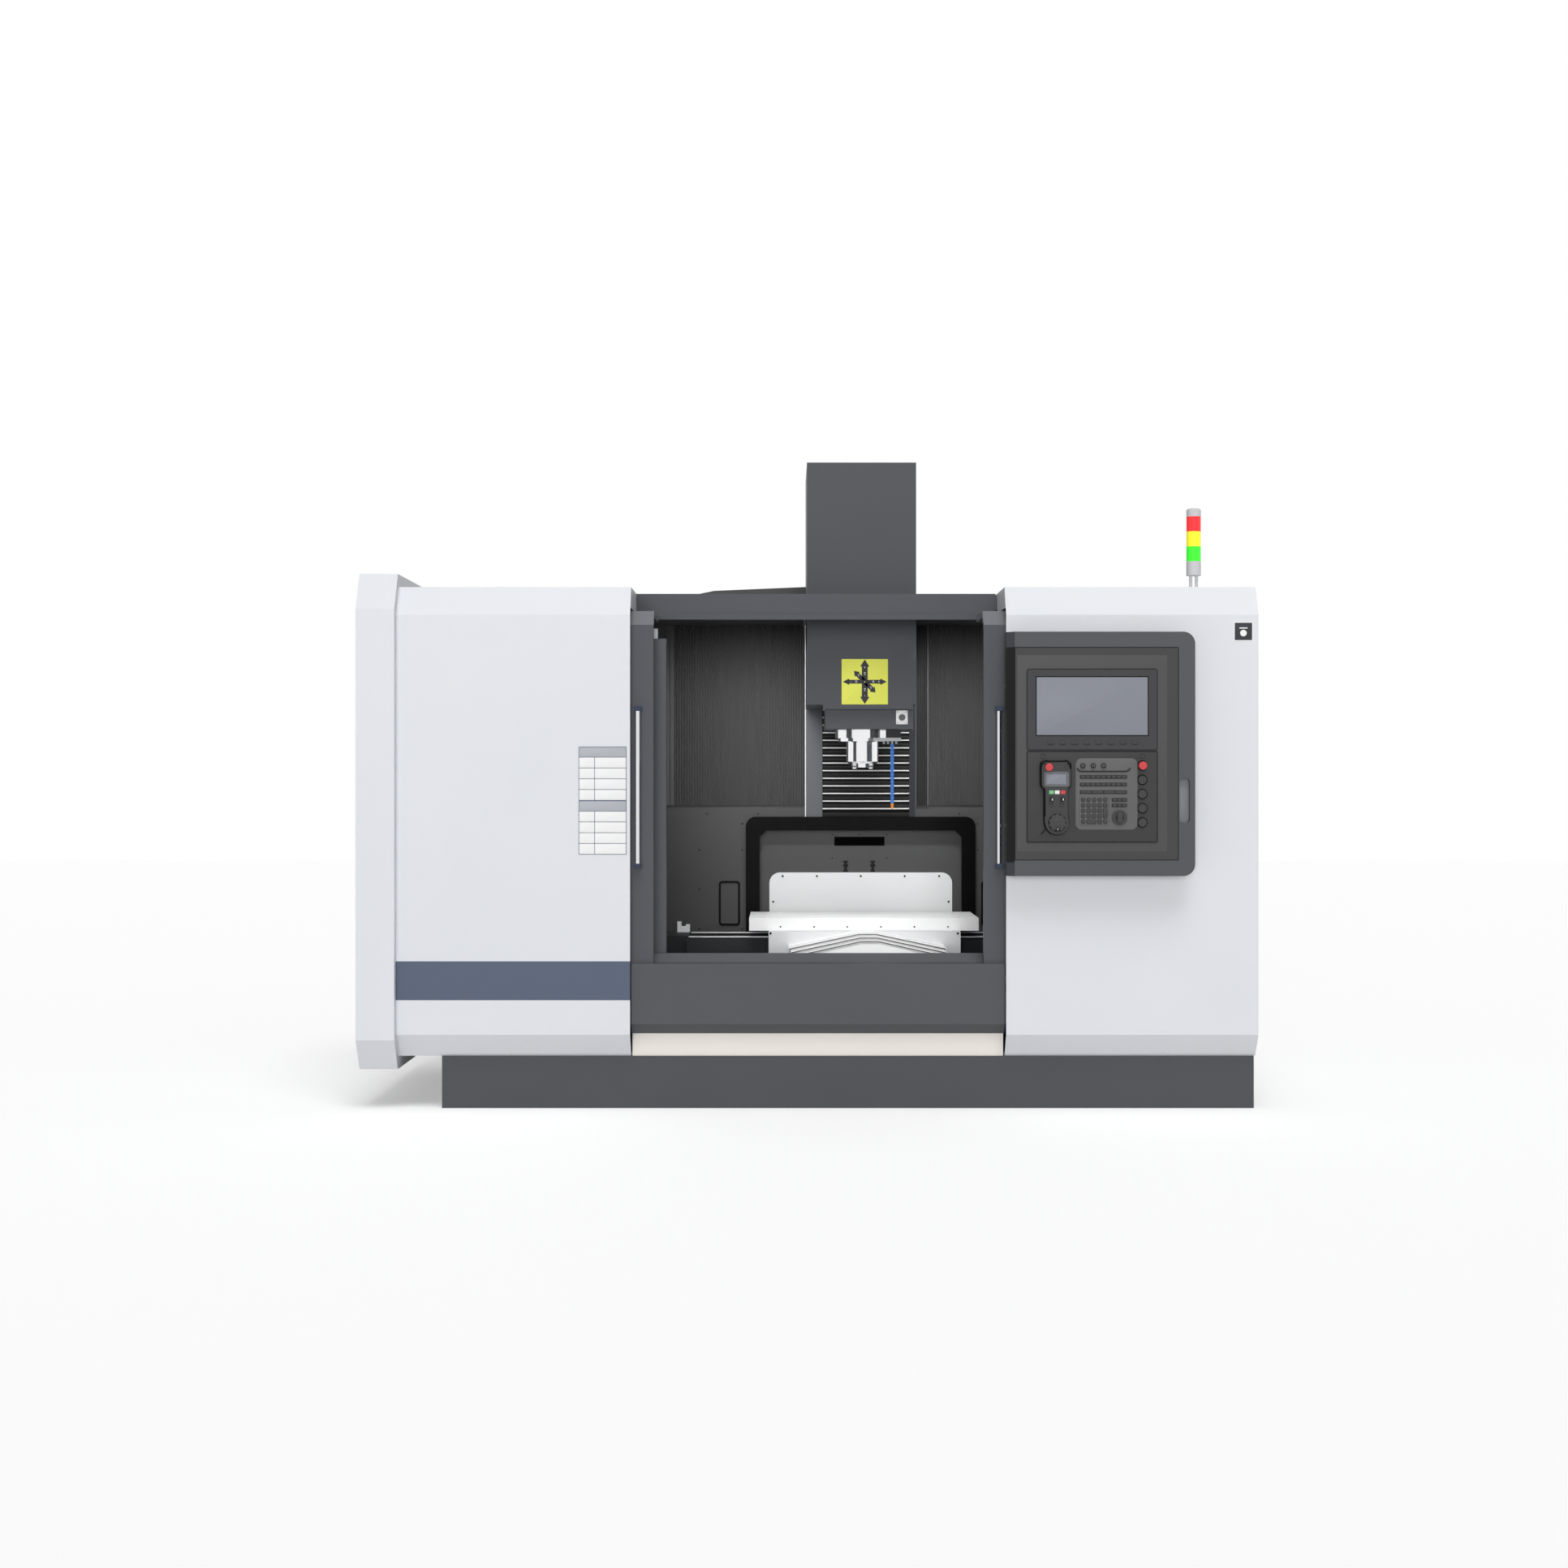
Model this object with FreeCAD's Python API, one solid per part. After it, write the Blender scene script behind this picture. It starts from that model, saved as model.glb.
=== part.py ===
import FreeCAD, Part
import math
import os

V = FreeCAD.Vector
os.makedirs("parts", exist_ok=True)

# Vertical machining centre with sliding twin doors. X runs to the right, Y to the back, Z up.
# A depth is measured back from the front plane of the white covers, a reach forward from it.

# --- enclosure ---------------------------------------------------------------------------
bed_rear = 2090.0
control_reach = 150.0

end_cover_left = -1777.0
end_cover_width = 152.0
end_cover_proud = 40.0
end_cover_bottom = 155.0
end_cover_rise = 51.0
end_fold_rise = 124.0
end_fold_drop = 145.0
end_fold_depth = 94.0

opening_left = -701.0
opening_width = 1483.0
right_cover_width = 995.0
cover_top = 2068.0
fold_rise = 90.0
fold_drop = 115.0
fold_depth = 69.0
cover_return = 90.0
skin = 3.0
joint_gap = 3.0

base_left_inset = 326.0
base_right_inset = 7.0
base_depth = 60.0
base_height = 207.0
base_wall = 8.0

rear_wall_depth = 1425.0
wall_sheet = 4.0
side_cover_split = 600.0

beam_depth = 412.0
beam_section = 88.0
beam_height = 86.0
beam_right_gap = 6.0
door_rail_drop = 20.0
door_rail_width = 24.0
door_rail_forward = 8.0

apron_depth = 20.0
apron_top = 576.0
apron_fold = 40.0
apron_sheet = 4.0
track_width = 74.0
lip_run = 34.0
lip_rise = 34.0
lip_width = 14.0
apron_drop = 280.0
kick_depth = 70.0
kick_flange = 40.0
kick_gap_left = 5.0
kick_gap_right = 6.0

roof_drop = 65.0
roof_notch_gap = 11.0
roof_notch_front = 10.0

# --- doors -------------------------------------------------------------------------------
door_depth = 40.0
door_width = 800.0
left_door_show = 90.0
right_door_show = 85.5
door_thickness = 25.0
door_beam_gap = 7.0
door_fold_height = 59.0
door_fold_run = 60.0
running_gap = 0.3
stile = 110.0
rear_stile = 80.0
window_sill = 224.0
window_head = 116.0
glass_lap = 15.0
glass_thickness = 8.0
handle_inset_left = 61.0
handle_inset_right = 59.0
handle_radius = 10.0
handle_depth = 14.0
handle_rise = 172.0
handle_length = 602.0
handle_block = 18.0
handle_block_width = 30.0

# --- work chamber ------------------------------------------------------------------------
chamber_width = 1909.0
chamber_inner_low = 300.0
floor_inner = 340.0
floor_outer_left = 480.0
floor_outer_right = 560.0
lining_gap = 10.0
lining_lap = 30.0
post_width = 135.0
post_depth = 150.0
post_section = 60.0
post_drop = 107.0
post_block = 16.0
post_block_inset = 50.0
post_block_depth = 25.0
post_block_height = 40.0

arch_left = -266.0
arch_width = 1036.0
arch_top = 1138.0
arch_face = 62.0
arch_radius = 44.0
arch_chamfer = 30.0
arch_proud = 40.0
arch_pan = 15.0
arch_rise = 40.0

pleat_pitch = 7.4
pleat_rise = 6.0
pleat_back = 6.0
pleat_gap = 52.0
pleat_left = -590.0
pleat_left_count = 79
pleat_right = 560.0
pleat_right_count = 50
pleat_rib = 12.0
pleat_rib_gap = 6.0

slot_left = 5.0
slot_width = 495.0
strip_left = 12.0
strip_left_width = 67.0
strip_right = 472.0
strip_right_width = 26.0
strip_proud = 25.0

# --- bed, column, ways -------------------------------------------------------------------
bed_left = -250.0
bed_width = 990.0
bed_front = 240.0
bed_clearance = 12.0
bed_low = 60.0
bed_shoulder = 240.0
bed_inset = 80.0
bed_top = 380.0
bed_wall = 50.0
bay_rows = 5
bay_columns = 2
pad_radius = 45.0
pad_inset = 90.0
y_rail_left = 60.0
y_rail_spacing = 370.0
y_rail_width = 35.0
y_rail_height = 30.0
y_rail_front = 400.0
y_rail_length = 1000.0

column_left = 15.0
column_width = 485.0
column_gap = 17.0
column_foot = 594.0
column_knee = 900.0
column_crown = 80.0
column_head = 374.0
column_wall = 30.0
z_rail_left = 130.0
z_rail_spacing = 290.0
z_rail_width = 35.0
z_rail_height = 30.0
z_rail_rise = 12.0
z_rail_length = 1250.0
screw_radius = 16.0
screw_setback = 19.0
screw_x = 275.0
screw_foot = 100.0
nut_size = 80.0
motor_size = 120.0
motor_length = 150.0
bracket_height = 50.0
way_slack = 0.5

# --- saddle and table --------------------------------------------------------------------
table_centre_x = 246.0
table_length = 976.0
table_front = 750.0
table_width = 500.0
table_top = 717.0
table_thickness = 55.0
slot_count = 5
slot_pitch = 90.0
t_slot_width = 18.0
t_slot_neck = 17.0
t_slot_foot = 30.0
t_slot_foot_height = 12.0
carriage_length = 100.0
carriage_width = 60.0
carriage_spacing = 600.0
carriage_height = 44.0

saddle_left = -511.0
saddle_length = 1514.0
saddle_setback = 65.0
saddle_beam = 58.0
trough_end = 40.0
trough_inset = 40.0
trough_depth = 30.0
saddle_body_left = -110.0
saddle_body_width = 710.0
saddle_body_setback = 30.0
saddle_body_rise = 45.0
saddle_wall = 18.0
x_rail_setback = 100.0
x_rail_width = 28.0
x_rail_height = 15.0
x_rail_inset = 7.0
y_carriage_length = 120.0
y_carriage_width = 90.0
y_carriage_setback = 10.0
y_carriage_spacing = 300.0
carriage_clearance = 8.0
motor_box_left = -640.0
motor_box_setback = 184.0
motor_box_depth = 291.0
motor_box_rise = 7.0
motor_box_height = 85.0
bracket_left = -570.0
bracket_width = 56.0
bracket_arm = 18.0
bracket_base = 26.0
bracket_tall = 47.0
bracket_short = 34.0
bracket_depth = 26.0

apron_plate_left = -159.0
apron_plate_width = 812.0
apron_plate_forward = 50.0
apron_plate_drop = 56.0
apron_plate_lap = 45.0
plate_rise = 50.0
guard_left = -160.0
guard_width = 828.0
guard_rise = 168.0
guard_radius = 48.0
flush_first = 172.0
flush_spacing = 123.0
flush_width = 26.0
flush_height = 53.0
flush_waist = 10.0
flush_waist_low = 20.0
flush_waist_high = 41.0
flush_neck = 8.0

# --- telescopic cover of the Y ways ------------------------------------------------------
stage_count = 4
stage_length = 186.0
stage_sheet = 3.0
stage_step = 7.0
stage_centre_x = 253.0
stage_half_width = 328.0
stage_eaves_drop = 56.0
stage_apex_rise = 5.0
stage_ridge = 37.0

# --- head and spindle --------------------------------------------------------------------
spindle_x = 244.0
spindle_depth = 880.0
nose_bottom = 1519.0
nose_height = 84.0
nose_left = 81.0
nose_width = 372.0
nose_forward = 160.0
nose_back = 220.0
hood_left = 3.0
hood_width = 462.0
hood_forward = 20.0
hood_back_gap = 20.0
hood_height = 1024.0
hood_tab_left = 72.0
hood_tab_width = 380.0
hood_tab_drop = 19.0
hood_plate = 18.0
head_left = 90.0
head_width = 358.0
head_height = 661.0
head_inset = 40.0
head_top_run = 140.0
head_heel_run = 25.0
head_heel_drop = 60.0
head_wall = 30.0
head_pocket_back = 150.0
saddle_plate_rise = 261.0
saddle_plate_height = 550.0
saddle_plate_left = 85.0
saddle_plate_width = 381.0
saddle_plate_thickness = 29.0
z_rail_clearance = 2.0
z_carriage_length = 110.0
z_carriage_width = 64.0
z_carriage_inset = 10.0
z_carriage_gap = 6.0

flange_radius = 117.0
flange_height = 37.0
ring_radius = 105.0
ring_height = 14.0
sleeve_radius = 69.5
sleeve_height = 94.0
sleeve_bevel = 8.0
cartridge_radius = 75.0
cartridge_length = 420.0
fit_gap = 0.1
spindle_radius = 44.0
spindle_gap = 0.4
spindle_recess = 20.0
spindle_face_radius = 48.0
spindle_face_height = 17.0
taper_radius = 22.2
taper_depth = 65.0
taper_tip_radius = 12.7
drawbar_radius = 8.0
drive_key = 16.0
drive_key_height = 5.0
motor_radius = 85.0
motor_foot = 190.0
motor_foot_height = 30.0
spindle_motor_length = 340.0

manifold_left = 339.0
manifold_width = 62.0
manifold_setback = 15.0
manifold_thickness = 35.0
manifold_height = 37.0
jet_plate_left = 284.0
jet_plate_width = 119.0
jet_plate_height = 14.0
jet_first = 331.0
jet_spacing = 17.5
jet_count = 4
jet_radius = 5.0
jet_length = 12.0
hose_x = 366.0
hose_setback = 32.0
hose_radius = 8.0
hose_waist = 5.5
hose_segments = 18
hose_segment = 14.0
hose_shoulder_start = 4.2
hose_shoulder_end = 11.2
hose_tip_radius = 5.0
hose_tip_length = 24.0

bellows_left = 80.0
bellows_width = 391.0
bellows_proud = 37.0
bellows_fold = 16.0
bellows_cloth = 4.0
bellows_count = 18
bellows_collar = 19.5
bellows_head_collar = 4.8

# --- tool magazine and electrical cabinet ------------------------------------------------
magazine_left = -479.0
magazine_depth = 521.0
magazine_low = 1300.0
magazine_height = 847.0
magazine_break = 68.0
magazine_break_rise = 14.0
magazine_ridge_rise = 32.0
drum_setback = 261.0
drum_rise = 420.0
drum_radius = 225.0
drum_thickness = 16.0
drum_left = -250.0
pot_count = 12
pot_circle = 180.0
pot_radius = 28.0
pot_length = 90.0
drum_shaft = 25.0
drum_shaft_end = 30.0

cabinet_left = 760.0
cabinet_width = 820.0
cabinet_depth = 371.0
cabinet_low = 330.0
cabinet_height = 1620.0
cabinet_door_thickness = 22.0
cabinet_grip_inset = 50.0
cabinet_grip_height = 140.0
cabinet_grip_width = 24.0
cabinet_grip_depth = 20.0
cabinet_foot_length = 40.0
cabinet_foot_gap = 4.0

hinge_pin_radius = 5.0
hinge_sleeve_radius = 8.0
hinge_swing_gap = 1.0
hinge_sleeve_length = 40.0
hinge_lug = 12.0
hinge_inset = 200.0
hinge_leaf = 30.0

# --- signal lamp -------------------------------------------------------------------------
lamp_x = 1605.0
lamp_depth = 500.0
lamp_radius = 30.0
lamp_core = 20.0
lamp_leg_height = 82.0
lamp_leg_width = 12.0
lamp_leg_spacing = 24.0
lamp_base_height = 58.0
lens_height = 62.0
lens_gap = 0.2
lamp_cap_height = 33.0
lamp_cap_bevel = 6.0

# --- operator panel ----------------------------------------------------------------------
panel_left = 776.0
panel_body_width = 664.0
panel_flange_width = 69.0
panel_low = 927.0
panel_height = 953.0
panel_reach = 110.0
panel_standoff = 18.0
panel_chamfer = 30.0
panel_flange_thickness = 25.0
panel_corner = 47.0
panel_wall = 3.0
fascia_inset = 29.0
fascia_rise = 61.0
fascia_width = 640.0
fascia_height = 832.0
fascia_sink = 2.0
plate_inset = 77.0
plate_width = 508.0
plate_thickness = 5.0
screen_rise = 492.0
screen_height = 315.0
display_inset = 37.0
display_rise = 57.0
display_width = 434.0
display_height = 227.0
display_sink = 2.0
soft_key_inset = 91.0
soft_key_rise = 30.0
soft_key_pitch = 46.5
soft_key_count = 8
soft_key_width = 22.0
soft_key_height = 12.0
keypad_rise = 132.0
keypad_height = 354.0
key_field_inset = 189.0
key_field_low_edge = 49.0
key_field_width = 241.0
key_field_height = 278.0
key_field_thickness = 2.0
key_field_corner = 24.0
key_rise = 3.0
key_width = 16.5
key_height = 15.5
key_inset = 25.0
key_pitch_x = 20.6
key_row_rises = (254.8, 225.1, 195.0)
key_row_counts = (9, 9, 4)
pad_inset_x = 29.6
pad_first_rise = 165.6
pad_pitch_x = 21.5
pad_pitch_z = 21.7
pad_columns = 5
pad_rows = 5
bar_inset = 146.0
bar_first_rise = 165.3
bar_pitch_z = 21.5
bar_height = 9.0
bar_columns = 3
bar_rows = 2
selector_radius = 10.0
selector_rise = 12.0
selector_inset = 28.0
selector_pitch = 40.6
selector_count = 3
switch_row_rise = 298.5
grip_inset = 671.0
grip_rise = 208.0
grip_width = 41.0
grip_height = 172.0
grip_corner = 14.0

control_inset = 449.0
stop_radius = 16.0
stop_rise = 26.0
stop_stem = 8.0
stop_travel = 5.0
button_first_rise = 243.0
button_pitch = 55.4
button_count = 4
button_radius = 17.0
button_rise = 9.0
button_travel = 4.0
cap_bevel = 2.0
stem_radius = 5.0
stem_gap = 0.4
stem_depth = 14.0
stem_end_gap = 2.0
dial_inset = 171.0
dial_height = 96.0
dial_radius = 29.0
dial_rise = 20.0
dial_grip = 0.8
dial_grip_count = 12

pendant_inset = 54.0
pendant_head_rise = 211.0
pendant_width = 115.0
pendant_height = 108.0
pendant_corner = 16.0
pendant_thickness = 16.0
neck_inset = 14.0
neck_width = 89.0
wheel_inset = 62.0
wheel_height = 76.0
wheel_housing_radius = 46.0
wheel_radius = 33.0
wheel_lobe = 3.0
wheel_lobes = 10
wheel_rise = 12.0
crank_offset = 24.0
crank_radius = 5.0
crank_rise = 9.0
pendant_display_rim = 14.0
pendant_display_low = 12.0
pendant_display_height = 50.0
pendant_display_sink = 1.5
pendant_stop_inset = 29.5
pendant_stop_height = 81.5
pendant_stop_radius = 15.0
pendant_stop_rise = 16.0
pendant_key_width = 18.0
pendant_key_height = 14.0
pendant_key_rise = 2.0
pendant_key_inset = 39.0
pendant_key_pitch = 22.5
pendant_key_drop = 16.0
pendant_key_count = 3
pendant_knob_radius = 9.5
pendant_knob_rise = 10.0
pendant_knob_inset = 40.0
pendant_knob_pitch = 42.0
pendant_knob_drop = 44.0
pendant_knob_count = 2

# --- values worked out from the sizes ----------------------------------------------------
front_y = (control_reach - bed_rear) / 2
opening_right = opening_left + opening_width
end_cover_right = end_cover_left + end_cover_width
end_cover_top = cover_top + end_cover_rise
end_fold_low = end_cover_bottom + end_fold_rise
end_fold_high = end_cover_top - end_fold_drop
right_end = opening_right + right_cover_width
fold_low = base_height + fold_rise
fold_high = cover_top - fold_drop
base_left = end_cover_left + base_left_inset
base_right = right_end - base_right_inset
wall_back = rear_wall_depth + wall_sheet
roof_height = cover_top - roof_drop
beam_back = beam_depth + beam_section
beam_bottom = cover_top - beam_height
door_rail_front = beam_depth - door_rail_forward
lip_front = apron_depth + track_width
lip_back = lip_front + lip_run + lip_width
apron_rise = apron_top + lip_rise

left_door_edge = opening_left + left_door_show
right_door_edge = opening_right - right_door_show
door_top = beam_bottom - door_beam_gap
door_fold_low = door_top - door_fold_height
window_low = apron_top + window_sill
window_top = door_fold_low - window_head
handle_low = window_low + handle_rise
chamber_left = opening_left - wall_sheet
chamber_right = chamber_left + chamber_width
post_top = door_top - post_drop

bed_right = bed_left + bed_width
arch_depth = rear_wall_depth - arch_proud
arch_low = bed_top + arch_rise
pan_low = arch_low - lining_lap
arch_right = arch_left + arch_width
arch_inner_left = arch_left + arch_face
arch_inner_right = arch_right - arch_face
arch_inner_top = arch_top - arch_face
pleat_low = arch_top + pleat_gap

column_right = column_left + column_width
column_depth = wall_back + column_gap
column_back = column_depth + column_foot
z_rail_low = arch_top + z_rail_rise
z_rail_top = z_rail_low + z_rail_length
column_top = z_rail_top + column_crown
z_rail_front = column_depth - z_rail_height
screw_depth = column_depth - screw_setback

table_bottom = table_top - table_thickness
table_back = table_front + table_width
saddle_top = table_bottom - carriage_height
saddle_front = table_front + saddle_setback
saddle_back = table_back - saddle_setback
saddle_body_front = table_front + saddle_body_setback
saddle_body_back = table_back + saddle_body_setback - 2 * y_carriage_setback
saddle_body_low = bed_top + saddle_body_rise
x_rail_front = table_front + x_rail_setback
x_rail_back = table_back - x_rail_setback
x_rail_top = saddle_top + x_rail_height
y_rail_top = bed_top + y_rail_height
y_carriage_first = saddle_body_front + y_carriage_setback
y_carriage_second = y_carriage_first + y_carriage_spacing
motor_box_front = saddle_front + motor_box_setback
motor_box_back = motor_box_front + motor_box_depth
motor_box_top = saddle_top + motor_box_rise
apron_plate_depth = table_front - apron_plate_forward
apron_plate_top = table_top - apron_plate_drop
plate_low = bed_top + plate_rise
guard_top = table_top + guard_rise
stage_eaves = apron_plate_top - stage_eaves_drop
stage_apex = apron_plate_top + stage_apex_rise

nose_depth = spindle_depth - nose_forward
hood_depth = nose_depth - hood_forward
hood_low = nose_bottom + nose_height + hood_tab_drop
hood_top = hood_low + hood_height
head_top = nose_bottom + head_height
head_rear = z_rail_front - saddle_plate_thickness - z_rail_clearance
hood_back = head_rear - hood_back_gap
saddle_plate_low = nose_bottom + saddle_plate_rise
saddle_plate_top = saddle_plate_low + saddle_plate_height
saddle_plate_back = head_rear + saddle_plate_thickness
flange_low = nose_bottom - flange_height
sleeve_top = flange_low - ring_height
sleeve_low = sleeve_top - sleeve_height
manifold_depth = nose_depth + manifold_setback
manifold_low = nose_bottom - manifold_height
jet_plate_low = manifold_low - jet_plate_height
hose_depth = nose_depth + hose_setback
bellows_depth = rear_wall_depth - bellows_proud
bellows_top = saddle_plate_low - running_gap
bellows_run = bellows_top - bellows_head_collar - arch_top - bellows_collar
bellows_pitch = bellows_run / bellows_count

magazine_eaves = magazine_low + magazine_height
magazine_ridge = magazine_eaves + magazine_ridge_rise
drum_depth = wall_back + drum_setback
drum_height = magazine_low + drum_rise
cabinet_right = cabinet_left + cabinet_width
cabinet_back = wall_back + cabinet_depth
cabinet_top = cabinet_low + cabinet_height
cabinet_door_back = cabinet_back + cabinet_door_thickness
cabinet_hinge_x = cabinet_right + hinge_sleeve_radius + hinge_swing_gap
cabinet_hinge_depth = cabinet_door_back - hinge_sleeve_radius
hinge_x = panel_left + hinge_sleeve_radius + hinge_swing_gap
hinge_reach = hinge_sleeve_radius + hinge_swing_gap

panel_top = panel_low + panel_height
fascia_left = panel_left + fascia_inset
fascia_low = panel_low + fascia_rise
plate_left = panel_left + plate_inset
screen_low = panel_low + screen_rise
display_left = plate_left + display_inset
display_low = screen_low + display_rise
soft_key_first = plate_left + soft_key_inset
soft_key_z = screen_low + soft_key_rise
keypad_low = panel_low + keypad_rise
key_field_left = plate_left + key_field_inset
key_field_low = keypad_low + key_field_low_edge
key_first_x = key_field_left + key_inset
pad_first_x = key_field_left + pad_inset_x
pad_first_z = keypad_low + pad_first_rise
bar_first_x = key_field_left + bar_inset
bar_first_z = keypad_low + bar_first_rise
selector_first = key_field_left + selector_inset
switch_row_z = keypad_low + switch_row_rise
grip_left = panel_left + grip_inset
grip_low = panel_low + grip_rise
control_x = plate_left + control_inset
button_first_z = keypad_low + button_first_rise
dial_x = key_field_left + dial_inset
dial_z = keypad_low + dial_height
pendant_left = plate_left + pendant_inset
pendant_low = keypad_low + pendant_head_rise
neck_left = pendant_left + neck_inset
wheel_x = pendant_left + wheel_inset
wheel_z = keypad_low + wheel_height
pendant_stop_x = pendant_left + pendant_stop_inset
pendant_stop_z = pendant_low + pendant_stop_height
pendant_key_first = pendant_left + pendant_key_inset
pendant_key_z = pendant_low - pendant_key_drop
pendant_knob_first = pendant_left + pendant_knob_inset
pendant_knob_z = pendant_low - pendant_knob_drop
plate_face = panel_reach + plate_thickness - fascia_sink
key_face = plate_face + key_field_thickness
pendant_face = plate_face + pendant_thickness


def box(x0, x1, d0, d1, z0, z1):
    return Part.makeBox(x1 - x0, d1 - d0, z1 - z0, V(x0, front_y + d0, z0))


def prism(ring, along):
    return Part.Face(Part.makePolygon(ring + ring[:1])).extrude(along)


def side_prism(points, x0, x1):
    return prism([V(x0, front_y + d, z) for d, z in points], V(x1 - x0, 0, 0))


def front_prism(points, d0, d1):
    return prism([V(x, front_y + d0, z) for x, z in points], V(0, d1 - d0, 0))


def plan_prism(points, z0, z1):
    return prism([V(x, front_y + d, z0) for x, d in points], V(0, 0, z1 - z0))


def rod_x(depth, z, radius, x0, x1):
    return Part.makeCylinder(radius, x1 - x0, V(x0, front_y + depth, z), V(1, 0, 0))


def rod_y(x, z, radius, d0, d1):
    return Part.makeCylinder(radius, d1 - d0, V(x, front_y + d0, z), V(0, 1, 0))


def rod_z(x, depth, radius, z0, z1):
    return Part.makeCylinder(radius, z1 - z0, V(x, front_y + depth, z0), V(0, 0, 1))


def turned(points, x, depth):
    # a profile of (radius, z) points, turned about the vertical line at x and depth
    y = front_y + depth
    ring = [V(x + r, y, z) for r, z in points]
    face = Part.Face(Part.makePolygon(ring + ring[:1]))
    return face.revolve(V(x, y, 0), V(0, 0, 1), 360)


def turned_front(points, x, z):
    # a profile of (radius, depth) points, turned about the line that runs straight back at x and z
    ring = [V(x + r, front_y + d, z) for r, d in points]
    face = Part.Face(Part.makePolygon(ring + ring[:1]))
    return face.revolve(V(x, front_y, z), V(0, 1, 0), 360)


def folded(path, sheet):
    # outline of a folded sheet: its outer face follows the path, its thickness lies to the right
    rights = []
    for (a0, b0), (a1, b1) in zip(path, path[1:]):
        run = math.hypot(a1 - a0, b1 - b0)
        rights.append(((b1 - b0) / run, (a0 - a1) / run))
    inner = []
    for i, (a, b) in enumerate(path):
        before = rights[max(i - 1, 0)]
        after = rights[min(i, len(rights) - 1)]
        scale = sheet / (1 + before[0] * after[0] + before[1] * after[1])
        inner.append((a + (before[0] + after[0]) * scale, b + (before[1] + after[1]) * scale))
    return list(path) + inner[::-1]


def joined(*shapes):
    return shapes[0].fuse(list(shapes[1:])).removeSplitter()


def group(*shapes):
    return Part.makeCompound(list(shapes))


def rounded_front(x0, x1, z0, z1, radius, d0, d1):
    # a plate with its four corners rounded as seen from the front
    plate = box(x0, x1, d0, d1, z0, z1)
    corners = [e for e in plate.Edges if abs(e.Vertexes[0].Y - e.Vertexes[-1].Y) > (d1 - d0) / 2]
    return plate.makeFillet(radius, corners)


def save(name, shape):
    shape.exportStep("parts/" + name + ".step")


# --- base and covers ---------------------------------------------------------------------
def base_pan():
    # closed tank around three sides of the bed
    bay_left = bed_left - bed_clearance
    bay_right = bed_right + bed_clearance
    bay_front = bed_front - bed_clearance
    t = base_wall
    body = box(base_left, base_right, base_depth, wall_back, 0, base_height)
    body = body.cut(box(bay_left, bay_right, bay_front, wall_back, 0, base_height))
    for x0, x1, d1 in ((base_left, bay_left, wall_back), (bay_left, bay_right, bay_front),
                       (bay_right, base_right, wall_back)):
        body = body.cut(box(x0 + t, x1 - t, base_depth + t, d1 - t, t, base_height - t))
    return body


def kick_plate():
    back = kick_depth + kick_flange
    path = [(back, base_height), (kick_depth, base_height), (kick_depth, fold_low), (back, fold_low)]
    return side_prism(folded(path, skin), opening_left + kick_gap_left, opening_right - kick_gap_right)


def front_apron():
    path = [(apron_depth + 2 * apron_fold, fold_low), (apron_depth + apron_fold, fold_low),
            (apron_depth, fold_low + apron_fold), (apron_depth, apron_top), (lip_front, apron_top),
            (lip_front + lip_run, apron_rise), (lip_back, apron_rise),
            (lip_back, apron_rise - apron_drop)]
    return side_prism(folded(path, apron_sheet), opening_left + joint_gap, opening_right - joint_gap)


def cover_path():
    return [(fold_depth + cover_return, base_height), (fold_depth, base_height), (0, fold_low),
            (0, fold_high), (fold_depth, cover_top), (fold_depth + cover_return, cover_top)]


def cover_cheek(x0, x1):
    # side plate of a cover above the doors, back to the beam
    outline = [(0, fold_low), (0, fold_high), (fold_depth, cover_top), (beam_depth, cover_top),
               (beam_depth, fold_low)]
    above = box(x0, x1, 0, beam_depth, beam_bottom + joint_gap, cover_top - skin)
    return side_prism(outline, x0, x1).common(above)


def left_front_cover():
    front = side_prism(folded(cover_path(), skin), end_cover_right, opening_left)
    return joined(front, cover_cheek(opening_left - skin, opening_left))


def hinge_lugs(x, depth, low, high, foot):
    # two lugs, each a rounded end on a foot outline, with an upright pin
    parts = []
    for z in (low + hinge_inset, high - hinge_inset):
        parts.append(rod_z(x, depth, hinge_sleeve_radius, z - hinge_lug, z))
        parts.append(plan_prism(foot, z - hinge_lug, z))
        parts.append(rod_z(x, depth, hinge_pin_radius, z, z + hinge_sleeve_length))
    return parts


def right_front_cover():
    front = side_prism(folded(cover_path(), skin), opening_right, right_end)
    outline = [(side_cover_split, base_height), (fold_depth, base_height), (0, fold_low), (0, fold_high),
               (fold_depth, cover_top), (side_cover_split, cover_top)]
    cheek = side_prism(outline, right_end - skin, right_end)
    shell = joined(front, cheek, cover_cheek(opening_right, opening_right + skin))
    r = hinge_sleeve_radius
    foot = [(hinge_x - r, -hinge_reach), (hinge_x + r, -hinge_reach), (hinge_x + r, 0), (hinge_x - r, 0)]
    return joined(shell, *hinge_lugs(hinge_x, -hinge_reach, panel_low, panel_top, foot))


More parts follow.
